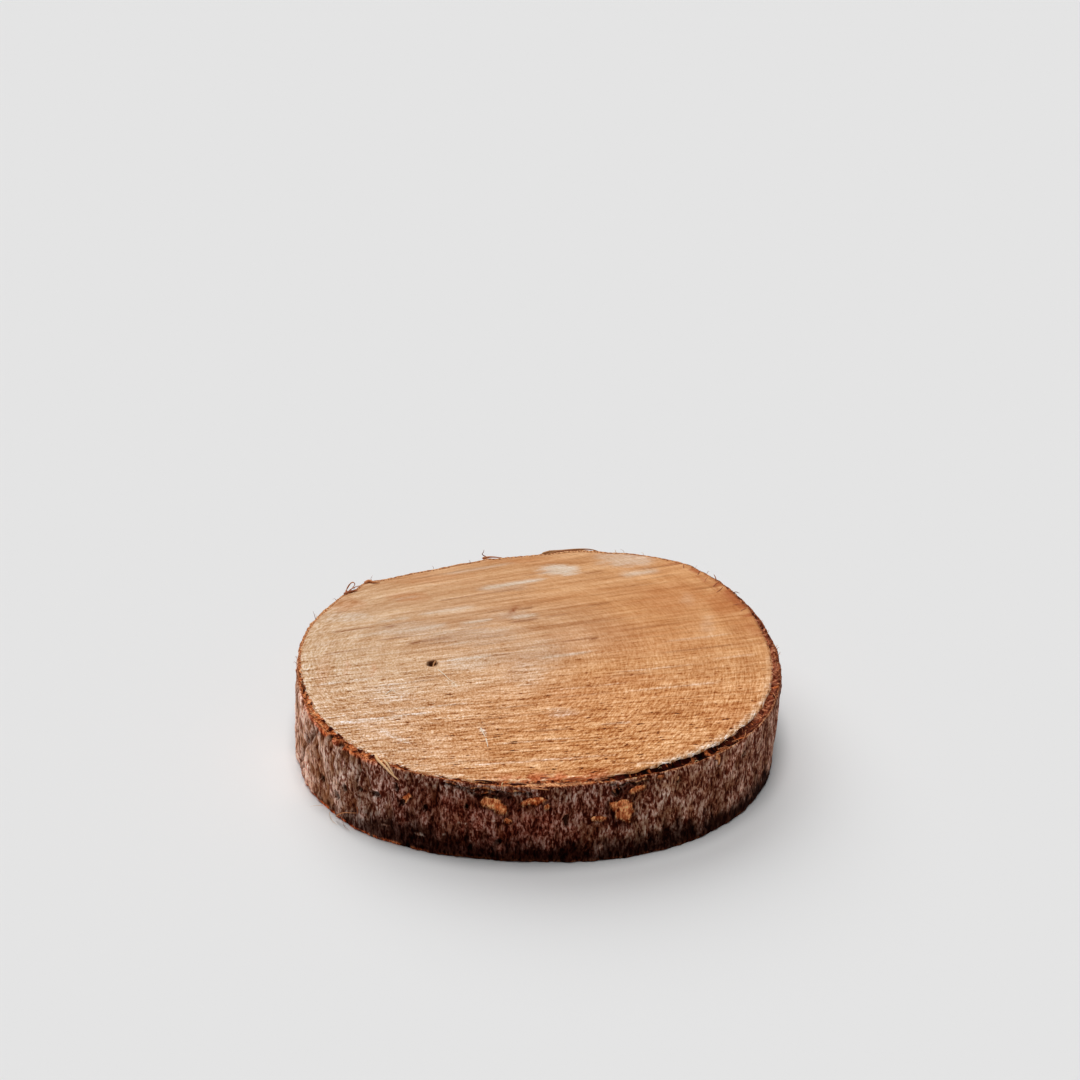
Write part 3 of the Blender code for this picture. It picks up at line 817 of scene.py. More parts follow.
PITS = (
    (253.1, 18.3, 0.55, 0.8), (236.2, 20.4, 0.55, 1.4), (237.3, 15.5, 0.65, 0.8), (226.2, 15.2, 0.6, 0.8),
    (212.0, 9.4, 0.8, 1.4), (218.3, 8.3, 0.7, 1.5), (215.5, 26.0, 0.8, 1.0), (210.0, 24.5, 0.6, 1.2),
    (219.4, 26.6, 1.1, 1.1), (276.4, 15.0, 0.6, 1.6), (288.6, 22.9, 1.1, 1.3), (202.4, 17.0, 0.9, 1.7),
    (230.6, 15.8, 1.2, 0.7), (260.6, 7.0, 0.7, 0.8), (243.0, 15.5, 0.6, 1.0), (303.5, 22.5, 0.5, 0.8),
    (314.6, 25.0, 0.8, 0.9), (315.0, 23.0, 0.5, 1.0), (323.5, 21.0, 0.6, 0.9), (221.0, 12.5, 0.5, 1.2),
    (96.0, 12.0, 0.6, 1.2), (110.0, 19.0, 0.7, 1.3), (60.0, 15.0, 0.6, 1.0), (168.0, 14.0, 0.8, 1.5),
)
PALE_MARKS = (
    (258.5, 14.2, 2.3, 0.25), (241.6, 6.1, 1.6, 0.22), (233.0, 6.0, 0.9, 0.25), (247.5, 9.0, 0.3, 1.4),
    (299.0, 25.0, 0.5, 0.7), (298.8, 8.0, 0.4, 1.0), (284.6, 5.0, 0.4, 1.2), (252.0, 12.5, 0.8, 0.2),
)
DARK_SURROUNDS = (
    (291.8, 23.0, 5.4, 2.2, 0.2), (289.0, 15.8, 3.2, 5.0, -0.3), (260.5, 20.5, 5.0, 3.0, 0.0),
)
# Cracks along the rim: first and last bearing, first and last height, and half width
CRACKS = (
    (247.0, 269.0, 25.1, 24.4, 0.6), (253.0, 264.0, 23.3, 22.9, 0.45), (286.5, 296.5, 25.2, 25.0, 0.45),
)
# Furrows from high to low: bearing and height of each end, and half width in degrees
LONG_FURROWS = (
    (208.5, 24.0, 194.5, 1.0, 1.35), (200.5, 5.5, 197.0, 0.5, 0.8), (226.0, 26.0, 225.0, 8.0, 0.5),
)
# Colours of the bark's wall beside its two main ones, and of its upper lip, as they show on screen
BARK_TONES = {
    "middling": (99, 65, 52), "behind": (88, 60, 45), "warm": (76, 28, 16), "top_band": (98, 66, 54),
    "foot": (16, 1, 0), "crumbly": (176, 84, 40), "long_furrow_shade": (66, 40, 24), "pale_mark": (128, 92, 76),
    "surround": (44, 9, 3), "outline": (34, 8, 3), "flake": (200, 124, 78), "flake_pit": (138, 64, 30),
    "pit_and_crack_shade": (10, 1, 0), "hem": (196, 92, 48),
}
LIP_TONES = {
    "orange": (188, 112, 68), "crumb": (122, 56, 32), "dark": (112, 54, 34), "pale": (218, 146, 100),
    "tan": (208, 150, 104),
}


def spot_cover(bearing, height, spots, ragged, soft=0.35):
    """Cover of small marks; each is bearing, height, half width, half height and perhaps lean"""
    cover = np.zeros(len(bearing))
    for middle, level, wide, tall, *lean in spots:
        tilt = lean[0] if lean else 0.0
        side = (turn_gap(bearing, middle) - tilt * (height - level)) / wide
        far = np.hypot(side, (height - level) / tall) + 0.9 * (ragged - 0.5)
        cover = np.maximum(cover, 1.0 - smooth_step(far, 1.0 - soft, 1.0 + soft))
    return cover


def crack_cover(bearing, height):
    cover = np.zeros(len(bearing))
    for start, end, level, end_level, width in CRACKS:
        share = turn_gap(bearing, start) / (end - start)
        line = level + (end_level - level) * share + 0.35 * np.sin(share * 17.0)
        inside = smooth_step(share, -0.02, 0.06) * (1 - smooth_step(share, 0.94, 1.02))
        cover = np.maximum(cover, inside * np.exp(-((height - line) / width) ** 2))
    return cover


def long_furrow_cover(bearing, height):
    cover = np.zeros(len(bearing))
    for upper, top, lower, bottom, wide in LONG_FURROWS:
        share = (top - height) / (top - bottom)
        middle = upper + (lower - upper) * share + 0.5 * np.sin(share * 9.0)
        inside = smooth_step(share, -0.08, 0.12) * (1 - smooth_step(share, 0.88, 1.08))
        side = turn_gap(bearing, 0.0) - turn_gap(np.radians(middle), 0.0)
        cover = np.maximum(cover, inside * np.exp(-side ** 2 / wide ** 2))
    return cover


def bark_form(bearing, height, sizes):
    """How far the bark stands out from the trunk, its ridges, and the cover of each kind of mark"""
    share = bearing / TURN
    ragged = layered(share * 420, height / 1.1, 74, 420, layers=2)
    relief = bark_furrows(share, height) * read_ring(BARK_ROUGHNESS, bearing)
    outlines = [(b, h, 1.2 * wide + 0.3, 1.2 * tall + 0.35, *lean) for b, h, wide, tall, *lean in FLAKES]
    pits = [(b, h, 1.15 * wide, 1.15 * tall) for b, h, wide, tall in PITS]
    marks = {
        "flakes": spot_cover(bearing, height, FLAKES, ragged, 0.15),
        "outlines": spot_cover(bearing, height, outlines, ragged, 0.2),
        "pits": spot_cover(bearing, height, pits, ragged),
        "pale": spot_cover(bearing, height, PALE_MARKS, ragged, 0.5),
        "cracks": crack_cover(bearing, height),
        "furrows": long_furrow_cover(bearing, height),
    }
    swell = 0.7 * (layered(share * 20, height / 16.0, 75, 20) - 0.6)
    top = sizes.thickness
    lump = stretch(bearing, "lumpy_bark") * smooth_step(height, top - 6, top)
    ends = smooth_step(height, 0.0, 0.9) * (1 - smooth_step(height, top - 0.8, top))
    out = swell + lump + sizes.bark_relief * relief * (0.45 + 0.55 * ends) - 0.3 * (1 - ends) - 0.2
    out = out - 0.5 * marks["flakes"] - 1.2 * marks["pits"] - 1.0 * marks["cracks"] - 1.1 * marks["furrows"]
    return out, relief, marks


def on_wall(red, green, blue):
    """The surface colour that shows as this screen colour on the bark, which the light barely reaches"""
    colour = daylight(red, green, blue) / WALL_LIGHT
    return colour * min(1.0, 0.85 / colour.max())


def toward_bark(colour, name, share):
    """Mix an array of colours towards one of the bark's named colours"""
    return toward(colour, on_wall(*BARK_TONES[name]), share)


def toward_lip(colour, name, share):
    """Mix an array of colours towards one of the lip's named colours"""
    return toward(colour, daylight(*LIP_TONES[name]), share)


def covered(colour, share, other):
    """Cover an array of colours with another array, by a share for each"""
    share = share[:, None]
    return colour * (1 - share) + other * share


def relit(colour, factor, brightest):
    """Darken colours as bark does, and lighten them plainly, up to a limit"""
    return shaded(colour, np.minimum(factor, 1.0)) * np.clip(factor, 1.0, brightest)[:, None]


def paint_wall(bearing, height, relief, colours):
    """The bark's wall without its marks: weathered grey, brown, and near black at the foot, with painted
    shade in its furrows and painted highlight on its crests
    """
    share = bearing / TURN
    blotch = layered(share * 44, height / 7.0, 61, 44)
    streak = patchy(share * 330, height / 10.0, 62, 330)
    mottle = layered(share * 120, height / 3.2, 65, 120)
    left = stretch(bearing, "weathered_bark")
    front = stretch(bearing, "brown_bark")
    colour = np.tile(on_wall(*BARK_TONES["middling"]), (len(bearing), 1))
    colour = toward(colour, on_wall(*colours.bark_front), 0.9 * front)
    behind = smooth_step(np.abs(turn_gap(bearing, FRONT_BEARING)), 95, 140)
    colour = toward_bark(colour, "behind", behind)
    colour = toward(colour, on_wall(*colours.bark_left), left)
    mottled = (1.0 + 0.7 * (blotch - 0.5)) * (1.0 + 1.1 * (mottle - 0.5))
    mottled = mottled - 0.08 * stretch(bearing, "dull_bark")
    colour = relit(colour, mottled, 1.3)
    colour = toward_bark(colour, "warm", 0.5 * smooth_step(blotch, 0.5, 0.7) * front)
    top_band = smooth_step(height + 4.0 * (blotch - 0.5), 19.5, 24.0)
    colour = toward_bark(colour, "top_band", 0.5 * top_band * front)
    foot_top = 9.0 + 4.0 * stretch(bearing, "high_foot") + 6.0 * (blotch - 0.5)
    foot_top = foot_top - 8.0 * stretch(bearing, "low_left_foot") - 5.0 * stretch(bearing, "low_right_foot")
    foot = height + 4.0 * (streak - 0.5) + 7.0 * (mottle - 0.5)
    foot = 1.0 - smooth_step(foot, 0.4 * foot_top, 1.3 * foot_top)
    colour = toward_bark(colour, "foot", 0.94 * foot * (1 - 0.7 * left))
    # painted shade in the furrows and painted highlight on the crests, following the bark's relief
    return relit(colour, np.clip(1.0 + 1.2 * relief, 0.22, 1.3), 1.3)


def paint_marks(colour, bearing, height, marks):
    """Crumbs, flakes, and painted shade in the furrows, pits and cracks over the bark's wall, and the
    orange hem at its foot
    """
    share = bearing / TURN
    blotch = layered(share * 44, height / 7.0, 61, 44)
    streak = patchy(share * 330, height / 10.0, 62, 330)
    crumbly = stretch(bearing, "crumbly_bark") * smooth_step(height + 1.6 * (streak - 0.5), 25.2, 26.2)
    colour = toward_bark(colour, "crumbly", 0.75 * crumbly)
    # painted shade down the long furrows
    colour = toward_bark(colour, "long_furrow_shade", 0.8 * marks["furrows"])
    colour = toward_bark(colour, "pale_mark", 0.55 * marks["pale"])
    colour = toward_bark(colour, "surround", 0.85 * spot_cover(bearing, height, DARK_SURROUNDS, blotch))
    colour = toward_bark(colour, "outline", 0.8 * marks["outlines"])
    lumps = patchy(share * 500, height / 0.8, 63, 500)
    flake = np.tile(on_wall(*BARK_TONES["flake"]), (len(bearing), 1))
    flake = toward_bark(flake, "flake_pit", smooth_step(lumps, 0.45, 0.8))
    colour = covered(colour, marks["flakes"], flake)
    # painted shade, near black, in the pits and the cracks
    colour = toward_bark(colour, "pit_and_crack_shade", 0.85 * np.maximum(marks["pits"], marks["cracks"]))
    hem = (1 - smooth_step(height, 0.5, 1.3)) * (0.1 + 0.9 * stretch(bearing, "orange_hem"))
    return toward_bark(colour, "hem", 0.85 * (hem * smooth_step(streak, 0.3, 0.5)))


def paint_lip(colour, bearing, height, on_lip):
    """The bark's cut edge: orange, pale at the right front, dark at the right and tan behind"""
    pale_lip, dark_lip = stretch(bearing, "pale_lip"), stretch(bearing, "dark_lip")
    tan_lip = stretch(bearing, "back")
    crumbs = layered(bearing / TURN * 520, 0.5 + 0 * bearing, 64, 520, layers=2)
    crumbs = smooth_step(crumbs, 0.4, 0.65)
    lip = np.tile(daylight(*LIP_TONES["orange"]), (len(bearing), 1))
    lip = toward_lip(lip, "crumb", crumbs * (1 - tan_lip))
    lip = toward_lip(lip, "dark", 0.8 * dark_lip)
    lip = toward_lip(lip, "pale", 0.85 * pale_lip * (1 - 0.5 * crumbs))
    lip = toward_lip(lip, "tan", 0.85 * tan_lip)
    on_lip = np.maximum(on_lip, tan_lip * smooth_step(height, 24.8, 26.0))
    return covered(colour, on_lip, lip)


class OBJECT_OT_outer_bark(bpy.types.Operator):
    """Model the outer bark as a closed ring, with furrows, flakes, pits and cracks"""

    bl_idname = "object.outer_bark"
    bl_label = "Outer bark"

    COLUMNS = 1180
    WALL_ROWS = 54
    LIP_ROWS = 2
    INNER_ROWS = 3

    def execute(self, context):
        sizes = context.scene.slice_sizes
        thickness = sizes.thickness
        rows = self.WALL_ROWS + 2 * self.LIP_ROWS + self.INNER_ROWS
        data, share, row = ring_mesh("outer_bark", self.COLUMNS, rows)
        bearing = share * TURN
        lip_start = self.WALL_ROWS
        inner_start = lip_start + self.LIP_ROWS
        foot_start = inner_start + self.INNER_ROWS
        up = np.clip(row / self.WALL_ROWS, 0, 1)
        down = np.clip((row - inner_start) / self.INNER_ROWS, 0, 1)
        inward = np.clip((row - lip_start) / self.LIP_ROWS, 0, 1)
        inward = inward - np.clip((row - foot_start) / self.LIP_ROWS, 0, 1)
        level = up - down
        flat = 0.5 + 0 * bearing
        notch = layered(share * 130, flat, 71, 130)
        torn = 0.15 + 0.9 * stretch(bearing, "torn_lip")
        top = thickness - 0.12 - torn * smooth_step(notch, 0.55, 0.8)
        top = top - 0.12 * patchy(share * 620, flat, 72, 620) - 0.5 * stretch(bearing, "low_back")
        foot = 0.45 * smooth_step(layered(share * 110, flat, 73, 110), 0.5, 0.85)
        height = foot + (top - foot) * level
        out, relief, marks = bark_form(bearing, height, sizes)
        outer = trunk_radius(bearing, height, thickness) + out
        lip = sizes.lip * (0.5 + 0.8 * layered(share * 300, flat, 77, 300))
        lip = lip * (1.0 - 0.35 * stretch(bearing, "pale_lip"))
        trunk = trunk_radius(bearing, height, thickness)
        inner = np.minimum(outer - 0.2, trunk + np.minimum(out, 0.0) - lip)
        inner = inner - 1.6 * (1 - level * level) * inward
        radius = outer + (inner - outer) * inward
        bulge = np.sin(inward * math.pi)
        height = height - 0.25 * bulge * (1 - level) + 0.12 * bulge * level
        on_lip = np.where(row > self.WALL_ROWS, 1.0, 0.3 * (row == self.WALL_ROWS))
        colour = paint_wall(bearing, height, relief, context.scene.slice_colours)
        colour = paint_marks(colour, bearing, height, marks)
        colour = paint_lip(colour, bearing, height, on_lip)
        set_points(data, radius * np.cos(bearing), radius * np.sin(bearing), np.maximum(height, 0.0))
        set_attribute(data, "tone", colour)
        smooth_lip = on_lip * (1.0 + 0.8 * stretch(bearing, "back"))
        set_attribute(data, "flaked", np.maximum(marks["flakes"] + marks["pale"], smooth_lip))
        off_front = np.abs(turn_gap(bearing, FRONT_BEARING))
        worn = 0.25 * smooth_step(off_front, 30, 60) + 0.25 * smooth_step(off_front, 85, 120)
        set_attribute(data, "weather", np.maximum(stretch(bearing, "weathered_grain"), worn))
        finish_piece("outer_bark", data, outer_bark_material())
        return {"FINISHED"}


def outer_bark_material():
    shader = Shader("Furrowed bark")
    tone = shader.attribute("tone", 0)
    flaked = shader.attribute("flaked", 2)
    place = shader.node("TexCoord", output=3)
    weather = shader.attribute("weather", 2)
    needle = shader.noise(shader.stretched(place, (1500.0, 1500.0, 560.0)), 2.0, 0.6, 0.4)
    strand = shader.noise(shader.stretched(place, (650.0, 650.0, 200.0)), 2.0, 0.6, 0.4)
    grit = shader.noise(shader.stretched(place, (2600.0, 2600.0, 1800.0)), 1.0, 0.6)
    share = shader.ramp(0.35 * strand + 0.65 * needle, 0.37, 0.63) + 0.5 * (grit - 0.5)
    factor = math.e ** ((2.3 - 1.25 * weather) * (share - 0.47))
    factor = factor + (1.0 - factor) * 0.5 * flaked
    dark = factor.maths("MINIMUM", factor, 1.0)
    light = factor.maths("MAXIMUM", factor, 1.0)
    colour = shader.shade(tone, dark * dark ** 0.65, 1.75, 2.1)
    colour = shader.shade(colour, light ** 0.75, 1.75 - 0.7 * weather, 2.05 - 0.95 * weather)
    height = 0.5 * strand + 0.5 * needle + 0.15 * grit
    return shader.finish(colour, shader.ramp(needle, 0.3, 0.7, 0.95, 0.82),
                         shader.bump(height, 0.0006, 0.8), 0.03)


# Colours of the inner bark, as they show on screen
INNER_BARK_TONES = {
    "orange": (202, 112, 62), "crumb_highlight": (224, 160, 110), "rust": (150, 62, 28), "crumb_shade": (60, 13, 6),
    "back": (208, 150, 104), "ember": (186, 116, 84), "dark_ember": (118, 52, 34), "fleck": (206, 112, 62),
    "torn": (70, 19, 8), "torn_ember": (136, 72, 50), "deep": (18, 3, 1), "deep_ember": (92, 40, 26),
    "chip": (216, 152, 106), "slit_shade": (66, 12, 6),
}
# Slits along the front, painted dark as the shade in the gaps between wood and bark: bearing and reach in
# degrees
SLITS = ((256.5, 2.6), (263.5, 2.6), (269.6, 1.8), (277.0, 2.4), (284.0, 2.0))


def inner_tone(name):
    return daylight(*INNER_BARK_TONES[name])


def paint_inner_bark(bearing, inward, crumbs, fibres):
    """Inner bark, from orange crumbs at the left to dark torn fibre at the right front, with painted
    highlight and shade on the crumbs and painted shade in the recess and the slits
    """
    share = bearing / TURN
    darkness = np.clip(read_ring(INNER_BARK_DARKNESS, bearing), 0, 1)
    back = stretch(bearing, "back")
    colour = np.tile(inner_tone("orange"), (len(bearing), 1))
    # painted highlight on the crumbs and painted shade between them
    colour = toward(colour, inner_tone("crumb_highlight"), smooth_step(crumbs, 0.55, 0.75))
    colour = toward(colour, inner_tone("rust"), smooth_step(fibres, 0.55, 0.8) * 0.7)
    colour = toward(colour, inner_tone("crumb_shade"), smooth_step(-crumbs, -0.45, -0.33) * (1 - back))
    colour = toward(colour, inner_tone("back"), 0.85 * back)
    # the right end glows red-brown
    ember = stretch(bearing, "ember")
    red = np.tile(inner_tone("ember"), (len(bearing), 1))
    red = toward(red, inner_tone("dark_ember"), smooth_step(fibres, 0.3, 0.62))
    colour = covered(colour, 0.85 * ember, red)
    # torn fibre, near black in its depths, with orange flecks
    patch = layered(share * 300, inward * 2.0, 82, 300)
    tear = smooth_step(patch + 0.9 * (darkness - 0.5), 0.42, 0.62) * (1 - back)
    flecks = smooth_step(crumbs, 0.42, 0.55)
    torn = covered(inner_tone("torn"), ember, inner_tone("torn_ember"))
    torn = toward(torn, covered(inner_tone("deep"), ember, inner_tone("deep_ember")),
                  smooth_step(fibres, 0.3, 0.6))
    torn = toward(torn, inner_tone("fleck"), 0.9 * smooth_step(fibres, 0.66, 0.78) * flecks)
    colour = covered(colour, tear, torn)
    # painted shade over the recess at the right front, sparing the bright orange flecks
    bright = smooth_step(fibres, 0.6, 0.7) * flecks
    colour = shaded(colour, 1.0 - 0.6 * stretch(bearing, "shaded_recess") * (1.0 - bright))
    # the pale chip, and painted shade in the slits at the front
    chip = stretch(bearing, "chip") * smooth_step(0.66 - inward, -0.1, 0.1)
    chip = chip * (0.55 + 0.45 * smooth_step(patch, 0.3, 0.5))
    colour = toward(colour, inner_tone("chip"), 0.9 * chip)
    for middle, reach in SLITS:
        slit_shade = around(bearing, middle, reach, 4) * np.exp(-((inward - 0.62) / 0.16) ** 2)
        colour = toward(colour, inner_tone("slit_shade"), 0.95 * slit_shade)
    return colour


class OBJECT_OT_inner_bark(bpy.types.Operator):
    """Model the inner bark as a closed ring between the wood and the outer bark"""

    bl_idname = "object.inner_bark"
    bl_label = "Inner bark"

    COLUMNS = 1180
    FACE_ROWS = 9
    WALL_STEPS = (0.0, 0.06, 0.5, 0.94, 1.0)
    WALL_ROWS = len(WALL_STEPS) - 1

    def execute(self, context):
        sizes = context.scene.slice_sizes
        thickness = sizes.thickness
        rows = 2 * (self.FACE_ROWS + self.WALL_ROWS)
        data, share, row = ring_mesh("inner_bark", self.COLUMNS, rows)
        bearing = share * TURN
        down_start = self.FACE_ROWS
        base_start = down_start + self.WALL_ROWS
        up_start = base_start + self.FACE_ROWS
        inward = np.clip(row / self.FACE_ROWS, 0, 1) - np.clip((row - base_start) / self.FACE_ROWS, 0, 1)
        steps = np.array(self.WALL_STEPS)
        down = steps[np.clip(row - down_start, 0, self.WALL_ROWS).astype(int)]
        down = down - steps[np.clip(row - up_start, 0, self.WALL_ROWS).astype(int)]
        flat = 0.5 + 0 * bearing
        crumbs = layered(share * 260, inward * 2.4, 81, 260, layers=2)
        fibres = patchy(share * 700, inward * 1.6, 83, 700)
        drop = np.maximum(read_ring(INNER_BARK_DROPS, bearing), 0.1)
        tear = smooth_step(layered(share * 150, flat, 84, 150), 0.4, 0.7)
        bowl = np.sin(np.clip(inward, 0, 1) * math.pi) ** 0.6
        lumpy = 1.0 + 0.8 * stretch(bearing, "lumpy_inner_bark")
        sink = 0.12 + drop * bowl * (0.5 + 0.7 * tear) + 0.9 * lumpy * (crumbs - 0.5) * bowl
        sink = sink + 0.35 * (fibres - 0.5) * bowl
        sink = sink + (0.03 - sink) * 0.95 * stretch(bearing, "low_back")
        top = thickness - np.maximum(sink, -0.3)
        base = np.maximum(0.25 + 0.4 * drop * bowl + 0.3 * (crumbs - 0.5), 0.02)
        height = top * (1 - down) + base * down
        out = bark_form(bearing, np.where(height > 0.5 * thickness, thickness - 0.3, 0.3), sizes)[0]
        inset = 0.3 + 2.6 * smooth_step(down, 0.0, 0.06) * (1 - smooth_step(down, 0.94, 1.0))
        outer = trunk_radius(bearing, height, thickness) + np.minimum(out, 0.3) - inset
        inner = wood_radius(bearing) - 0.35
        radius = outer + (inner - outer) * inward
        colour = paint_inner_bark(bearing, inward, crumbs, fibres)
        set_points(data, radius * np.cos(bearing), radius * np.sin(bearing), height)
        set_attribute(data, "tone", colour)
        finish_piece("inner_bark", data, inner_bark_material())
        return {"FINISHED"}


def inner_bark_material():
    shader = Shader("Torn inner bark")
    tone = shader.attribute("tone", 0)
    place = shader.node("TexCoord", output=3)
    crumb = shader.noise(shader.stretched(place, (1500.0, 1500.0, 900.0)), 2.0, 0.65)
    factor = shader.ramp(crumb, 0.36, 0.66, 0.5, 1.5)
    return shader.finish(shader.shade(tone, factor, 1.5, 1.8), 0.9, shader.bump(crumb, 0.0006, 0.8), 0.04)


# Torn fibres

# Each strand is a list of points, as bearing, distance outside the rim and height in millimetres,
# then its thickness and its colour
STRANDS = (
    (((228.8, -3.4, 26.7), (231.0, -1.0, 27.3), (233.6, 0.6, 26.9), (236.0, 1.5, 25.6), (238.0, 1.6, 24.2)),
     1.0, "bright"),
    (((231.6, -2.2, 26.8), (233.6, -0.6, 27.1), (235.4, 0.7, 26.2), (236.6, 1.2, 24.9)), 0.8, "straw"),
    (((261.6, -2.6, 26.6), (261.5, -0.8, 27.1), (261.8, 0.4, 26.6), (262.0, 0.6, 25.6)), 0.35, "straw"),
    (((218.9, 0.8, 1.3), (220.4, 1.2, 3.4), (222.3, 1.4, 5.4), (224.4, 1.3, 6.6), (226.2, 0.6, 7.2)),
     0.42, "orange"),
    (((225.7, 0.4, 9.0), (226.3, 0.9, 7.8), (226.0, 0.7, 6.6)), 0.5, "rust"),
    (((216.0, 0.3, 0.9), (217.2, 1.2, 0.6), (219.0, 2.0, 0.4), (221.0, 2.1, 0.4)), 0.16, "straw"),
    (((213.4, 0.3, 1.2), (213.6, 1.2, 1.7), (212.6, 2.4, 1.4), (211.6, 3.4, 0.6)), 0.14, "straw"),
    (((221.0, 0.3, 0.8), (222.4, 1.2, 0.5), (224.4, 1.6, 0.4)), 0.14, "rust"),
    (((316.0, -3.0, 26.0), (317.2, -1.4, 27.0), (318.0, -0.4, 26.9)), 0.3, "orange"),
    (((320.6, -2.8, 26.1), (321.2, -1.2, 27.2), (321.0, -0.3, 26.8)), 0.35, "orange"),
    (((326.0, -2.6, 26.1), (324.2, -1.2, 27.0), (322.4, -0.4, 26.8)), 0.3, "orange"),
    (((345.0, -2.3, 26.2), (342.6, -1.0, 27.0), (341.0, -0.3, 26.9)), 0.3, "orange"),
    (((276.0, -2.2, 26.4), (279.0, -1.0, 27.0), (282.0, -0.5, 26.6)), 0.4, "orange"),
    (((287.0, -2.6, 26.3), (284.6, -1.4, 27.0), (283.2, -0.6, 26.8)), 0.35, "rust"),
    (((268.0, -0.6, 26.2), (270.2, 0.2, 26.6), (272.4, 0.4, 26.2)), 0.6, "orange"),
    (((254.5, -2.3, 26.3), (256.5, -2.5, 26.6), (259.0, -2.4, 26.6), (261.6, -2.7, 26.3)), 0.6, "dark"),
    (((263.2, -2.2, 26.3), (264.6, -2.0, 26.6), (266.2, -2.2, 26.6), (267.4, -2.5, 26.3)), 0.7, "dark"),
    (((270.0, -6.3, 26.4), (271.6, -6.6, 26.6), (273.4, -6.6, 26.6), (275.6, -6.0, 26.4)), 0.5, "rust"),
    (((275.4, -4.4, 26.4), (277.6, -3.9, 26.6), (280.0, -3.8, 26.6), (283.0, -2.9, 26.4)), 0.5, "rust"),
    (((270.2, -5.2, 26.4), (272.0, -5.0, 26.6), (273.8, -5.1, 26.4)), 0.7, "dark"),
    (((40.0, -1.6, 26.2), (41.6, -0.4, 26.9), (43.0, 0.5, 26.9)), 0.5, "rust"),
    (((34.0, -1.4, 26.3), (33.0, -0.3, 27.0), (32.2, 0.5, 26.8)), 0.4, "rust"),
    (((24.6, -4.6, 26.4), (25.2, -3.0, 26.6), (25.4, -1.2, 26.5)), 0.6, "rust"),
    (((28.4, -5.4, 26.4), (28.2, -3.4, 26.6), (27.6, -1.0, 26.5)), 0.5, "rust"),
    (((36.0, -6.0, 26.4), (36.6, -3.6, 26.6), (37.6, -1.2, 26.5)), 0.5, "rust"),
    (((38.8, -4.8, 26.4), (39.4, -2.8, 26.6), (39.8, -0.8, 26.5)), 0.7, "rust"),
    (((42.0, -5.6, 26.4), (43.0, -3.2, 26.6), (43.6, -1.0, 26.5)), 0.5, "orange"),
    (((45.8, -3.6, 26.4), (46.4, -2.0, 26.6), (46.8, -0.6, 26.5)), 0.6, "rust"),
    (((50.6, -3.4, 26.4), (51.4, -2.0, 26.6), (52.0, -0.6, 26.5)), 0.5, "rust"),
    (((89.6, -0.7, 26.5), (87.0, -0.1, 26.9), (84.0, 0.0, 26.7), (80.0, 0.1, 26.8), (76.6, 0.1, 26.9),
      (74.0, -0.4, 26.6)), 1.0, "tan"),
    (((88.0, -0.8, 26.5), (84.0, -0.1, 26.7), (80.0, 0.0, 26.6), (76.0, -0.3, 26.5)), 0.9, "tan"),
    (((87.0, -0.9, 26.4), (84.5, -0.4, 26.75), (81.0, -0.4, 26.7), (78.0, -0.6, 26.6)), 0.5, "rust"),
)
# Curls that stand up from the rim, a fibre in the pith hole and pale slivers on the sawn face: each
# is a list of places, a thickness and a colour
CURLS = (
    (((-63.0, 42.2, 25.2), (-62.5, 43.3, 26.9), (-61.5, 43.5, 28.7), (-60.5, 43.6, 29.5),
      (-59.8, 43.7, 28.9), (-60.2, 44.0, 27.7), (-60.9, 44.2, 27.2)), 0.6, "orange"),
    (((-62.6, 42.6, 25.8), (-61.1, 44.0, 26.7), (-59.4, 45.4, 26.9), (-57.6, 46.6, 26.7)), 0.5, "orange"),
    (((-63.3, 40.6, 26.4), (-61.8, 41.8, 26.8), (-60.2, 42.6, 26.8), (-58.8, 43.2, 26.5)), 1.3, "rust"),
    (((-57.2, 48.0, 26.4), (-55.6, 49.0, 27.0), (-54.0, 48.2, 26.9), (-51.6, 48.4, 26.5)), 1.3, "orange"),
    (((-54.6, 49.6, 26.2), (-55.0, 50.0, 27.3), (-54.4, 50.2, 28.5)), 0.2, "rust"),
    (((-71.0, 25.0, 26.2), (-71.4, 25.4, 27.8), (-71.8, 25.5, 29.1)), 0.22, "rust"),
    (((-16.6, 66.0, 26.3), (-18.0, 66.2, 26.9), (-18.9, 66.3, 27.6), (-18.4, 66.3, 28.5),
      (-18.3, 66.3, 29.4)), 0.42, "rust"),
    (((-19.0, 65.6, 26.4), (-16.0, 66.0, 26.7), (-12.0, 66.0, 26.4)), 0.9, "orange"),
    (((-31.8, -0.6, 26.2), (-32.3, -1.8, 26.0), (-32.5, -3.2, 25.8), (-32.9, -4.6, 26.2)), 0.75, "tan"),
    (((-31.2, -5.9, 26.6), (-29.0, -9.0, 26.64), (-27.0, -12.4, 26.64), (-24.8, -15.4, 26.6)),
     0.42, "cream"),
    (((-17.0, -39.2, 26.6), (-16.4, -41.6, 26.64), (-15.5, -44.1, 26.6)), 0.6, "cream"),
    (((-15.4, -44.9, 26.6), (-15.0, -47.2, 26.64), (-14.7, -49.5, 26.6)), 0.6, "cream"),
    (((-46.2, -20.8, 26.6), (-44.1, -18.2, 26.62), (-42.5, -20.8, 26.6)), 0.5, "cream"),
)
STRAND_TONES = {
    "tan": (186, 132, 86), "cream": (246, 228, 204), "straw": (232, 190, 142), "bright": (244, 196, 146),
    "orange": (206, 134, 86), "rust": (164, 94, 58), "dark": (72, 18, 8)}
STRAND_SHADE = (110, 58, 34)
STRAND_SIDES = 6
STRAND_STEPS = 14


def smooth_path(knots, steps):
    """Points on a smooth curve through the knots"""
    knots = np.vstack([2 * knots[0] - knots[1], knots, 2 * knots[-1] - knots[-2]])
    spans = len(knots) - 3
    place = np.linspace(0.0, spans, steps + 1)
    first = np.minimum(np.floor(place).astype(int), spans - 1)
    t = (place - first)[:, None]
    a, b, c, d = (knots[first + k] for k in range(4))
    return b + 0.5 * t * (c - a + t * (2 * a - 5 * b + 4 * c - d + t * (3 * (b - c) + d - a)))


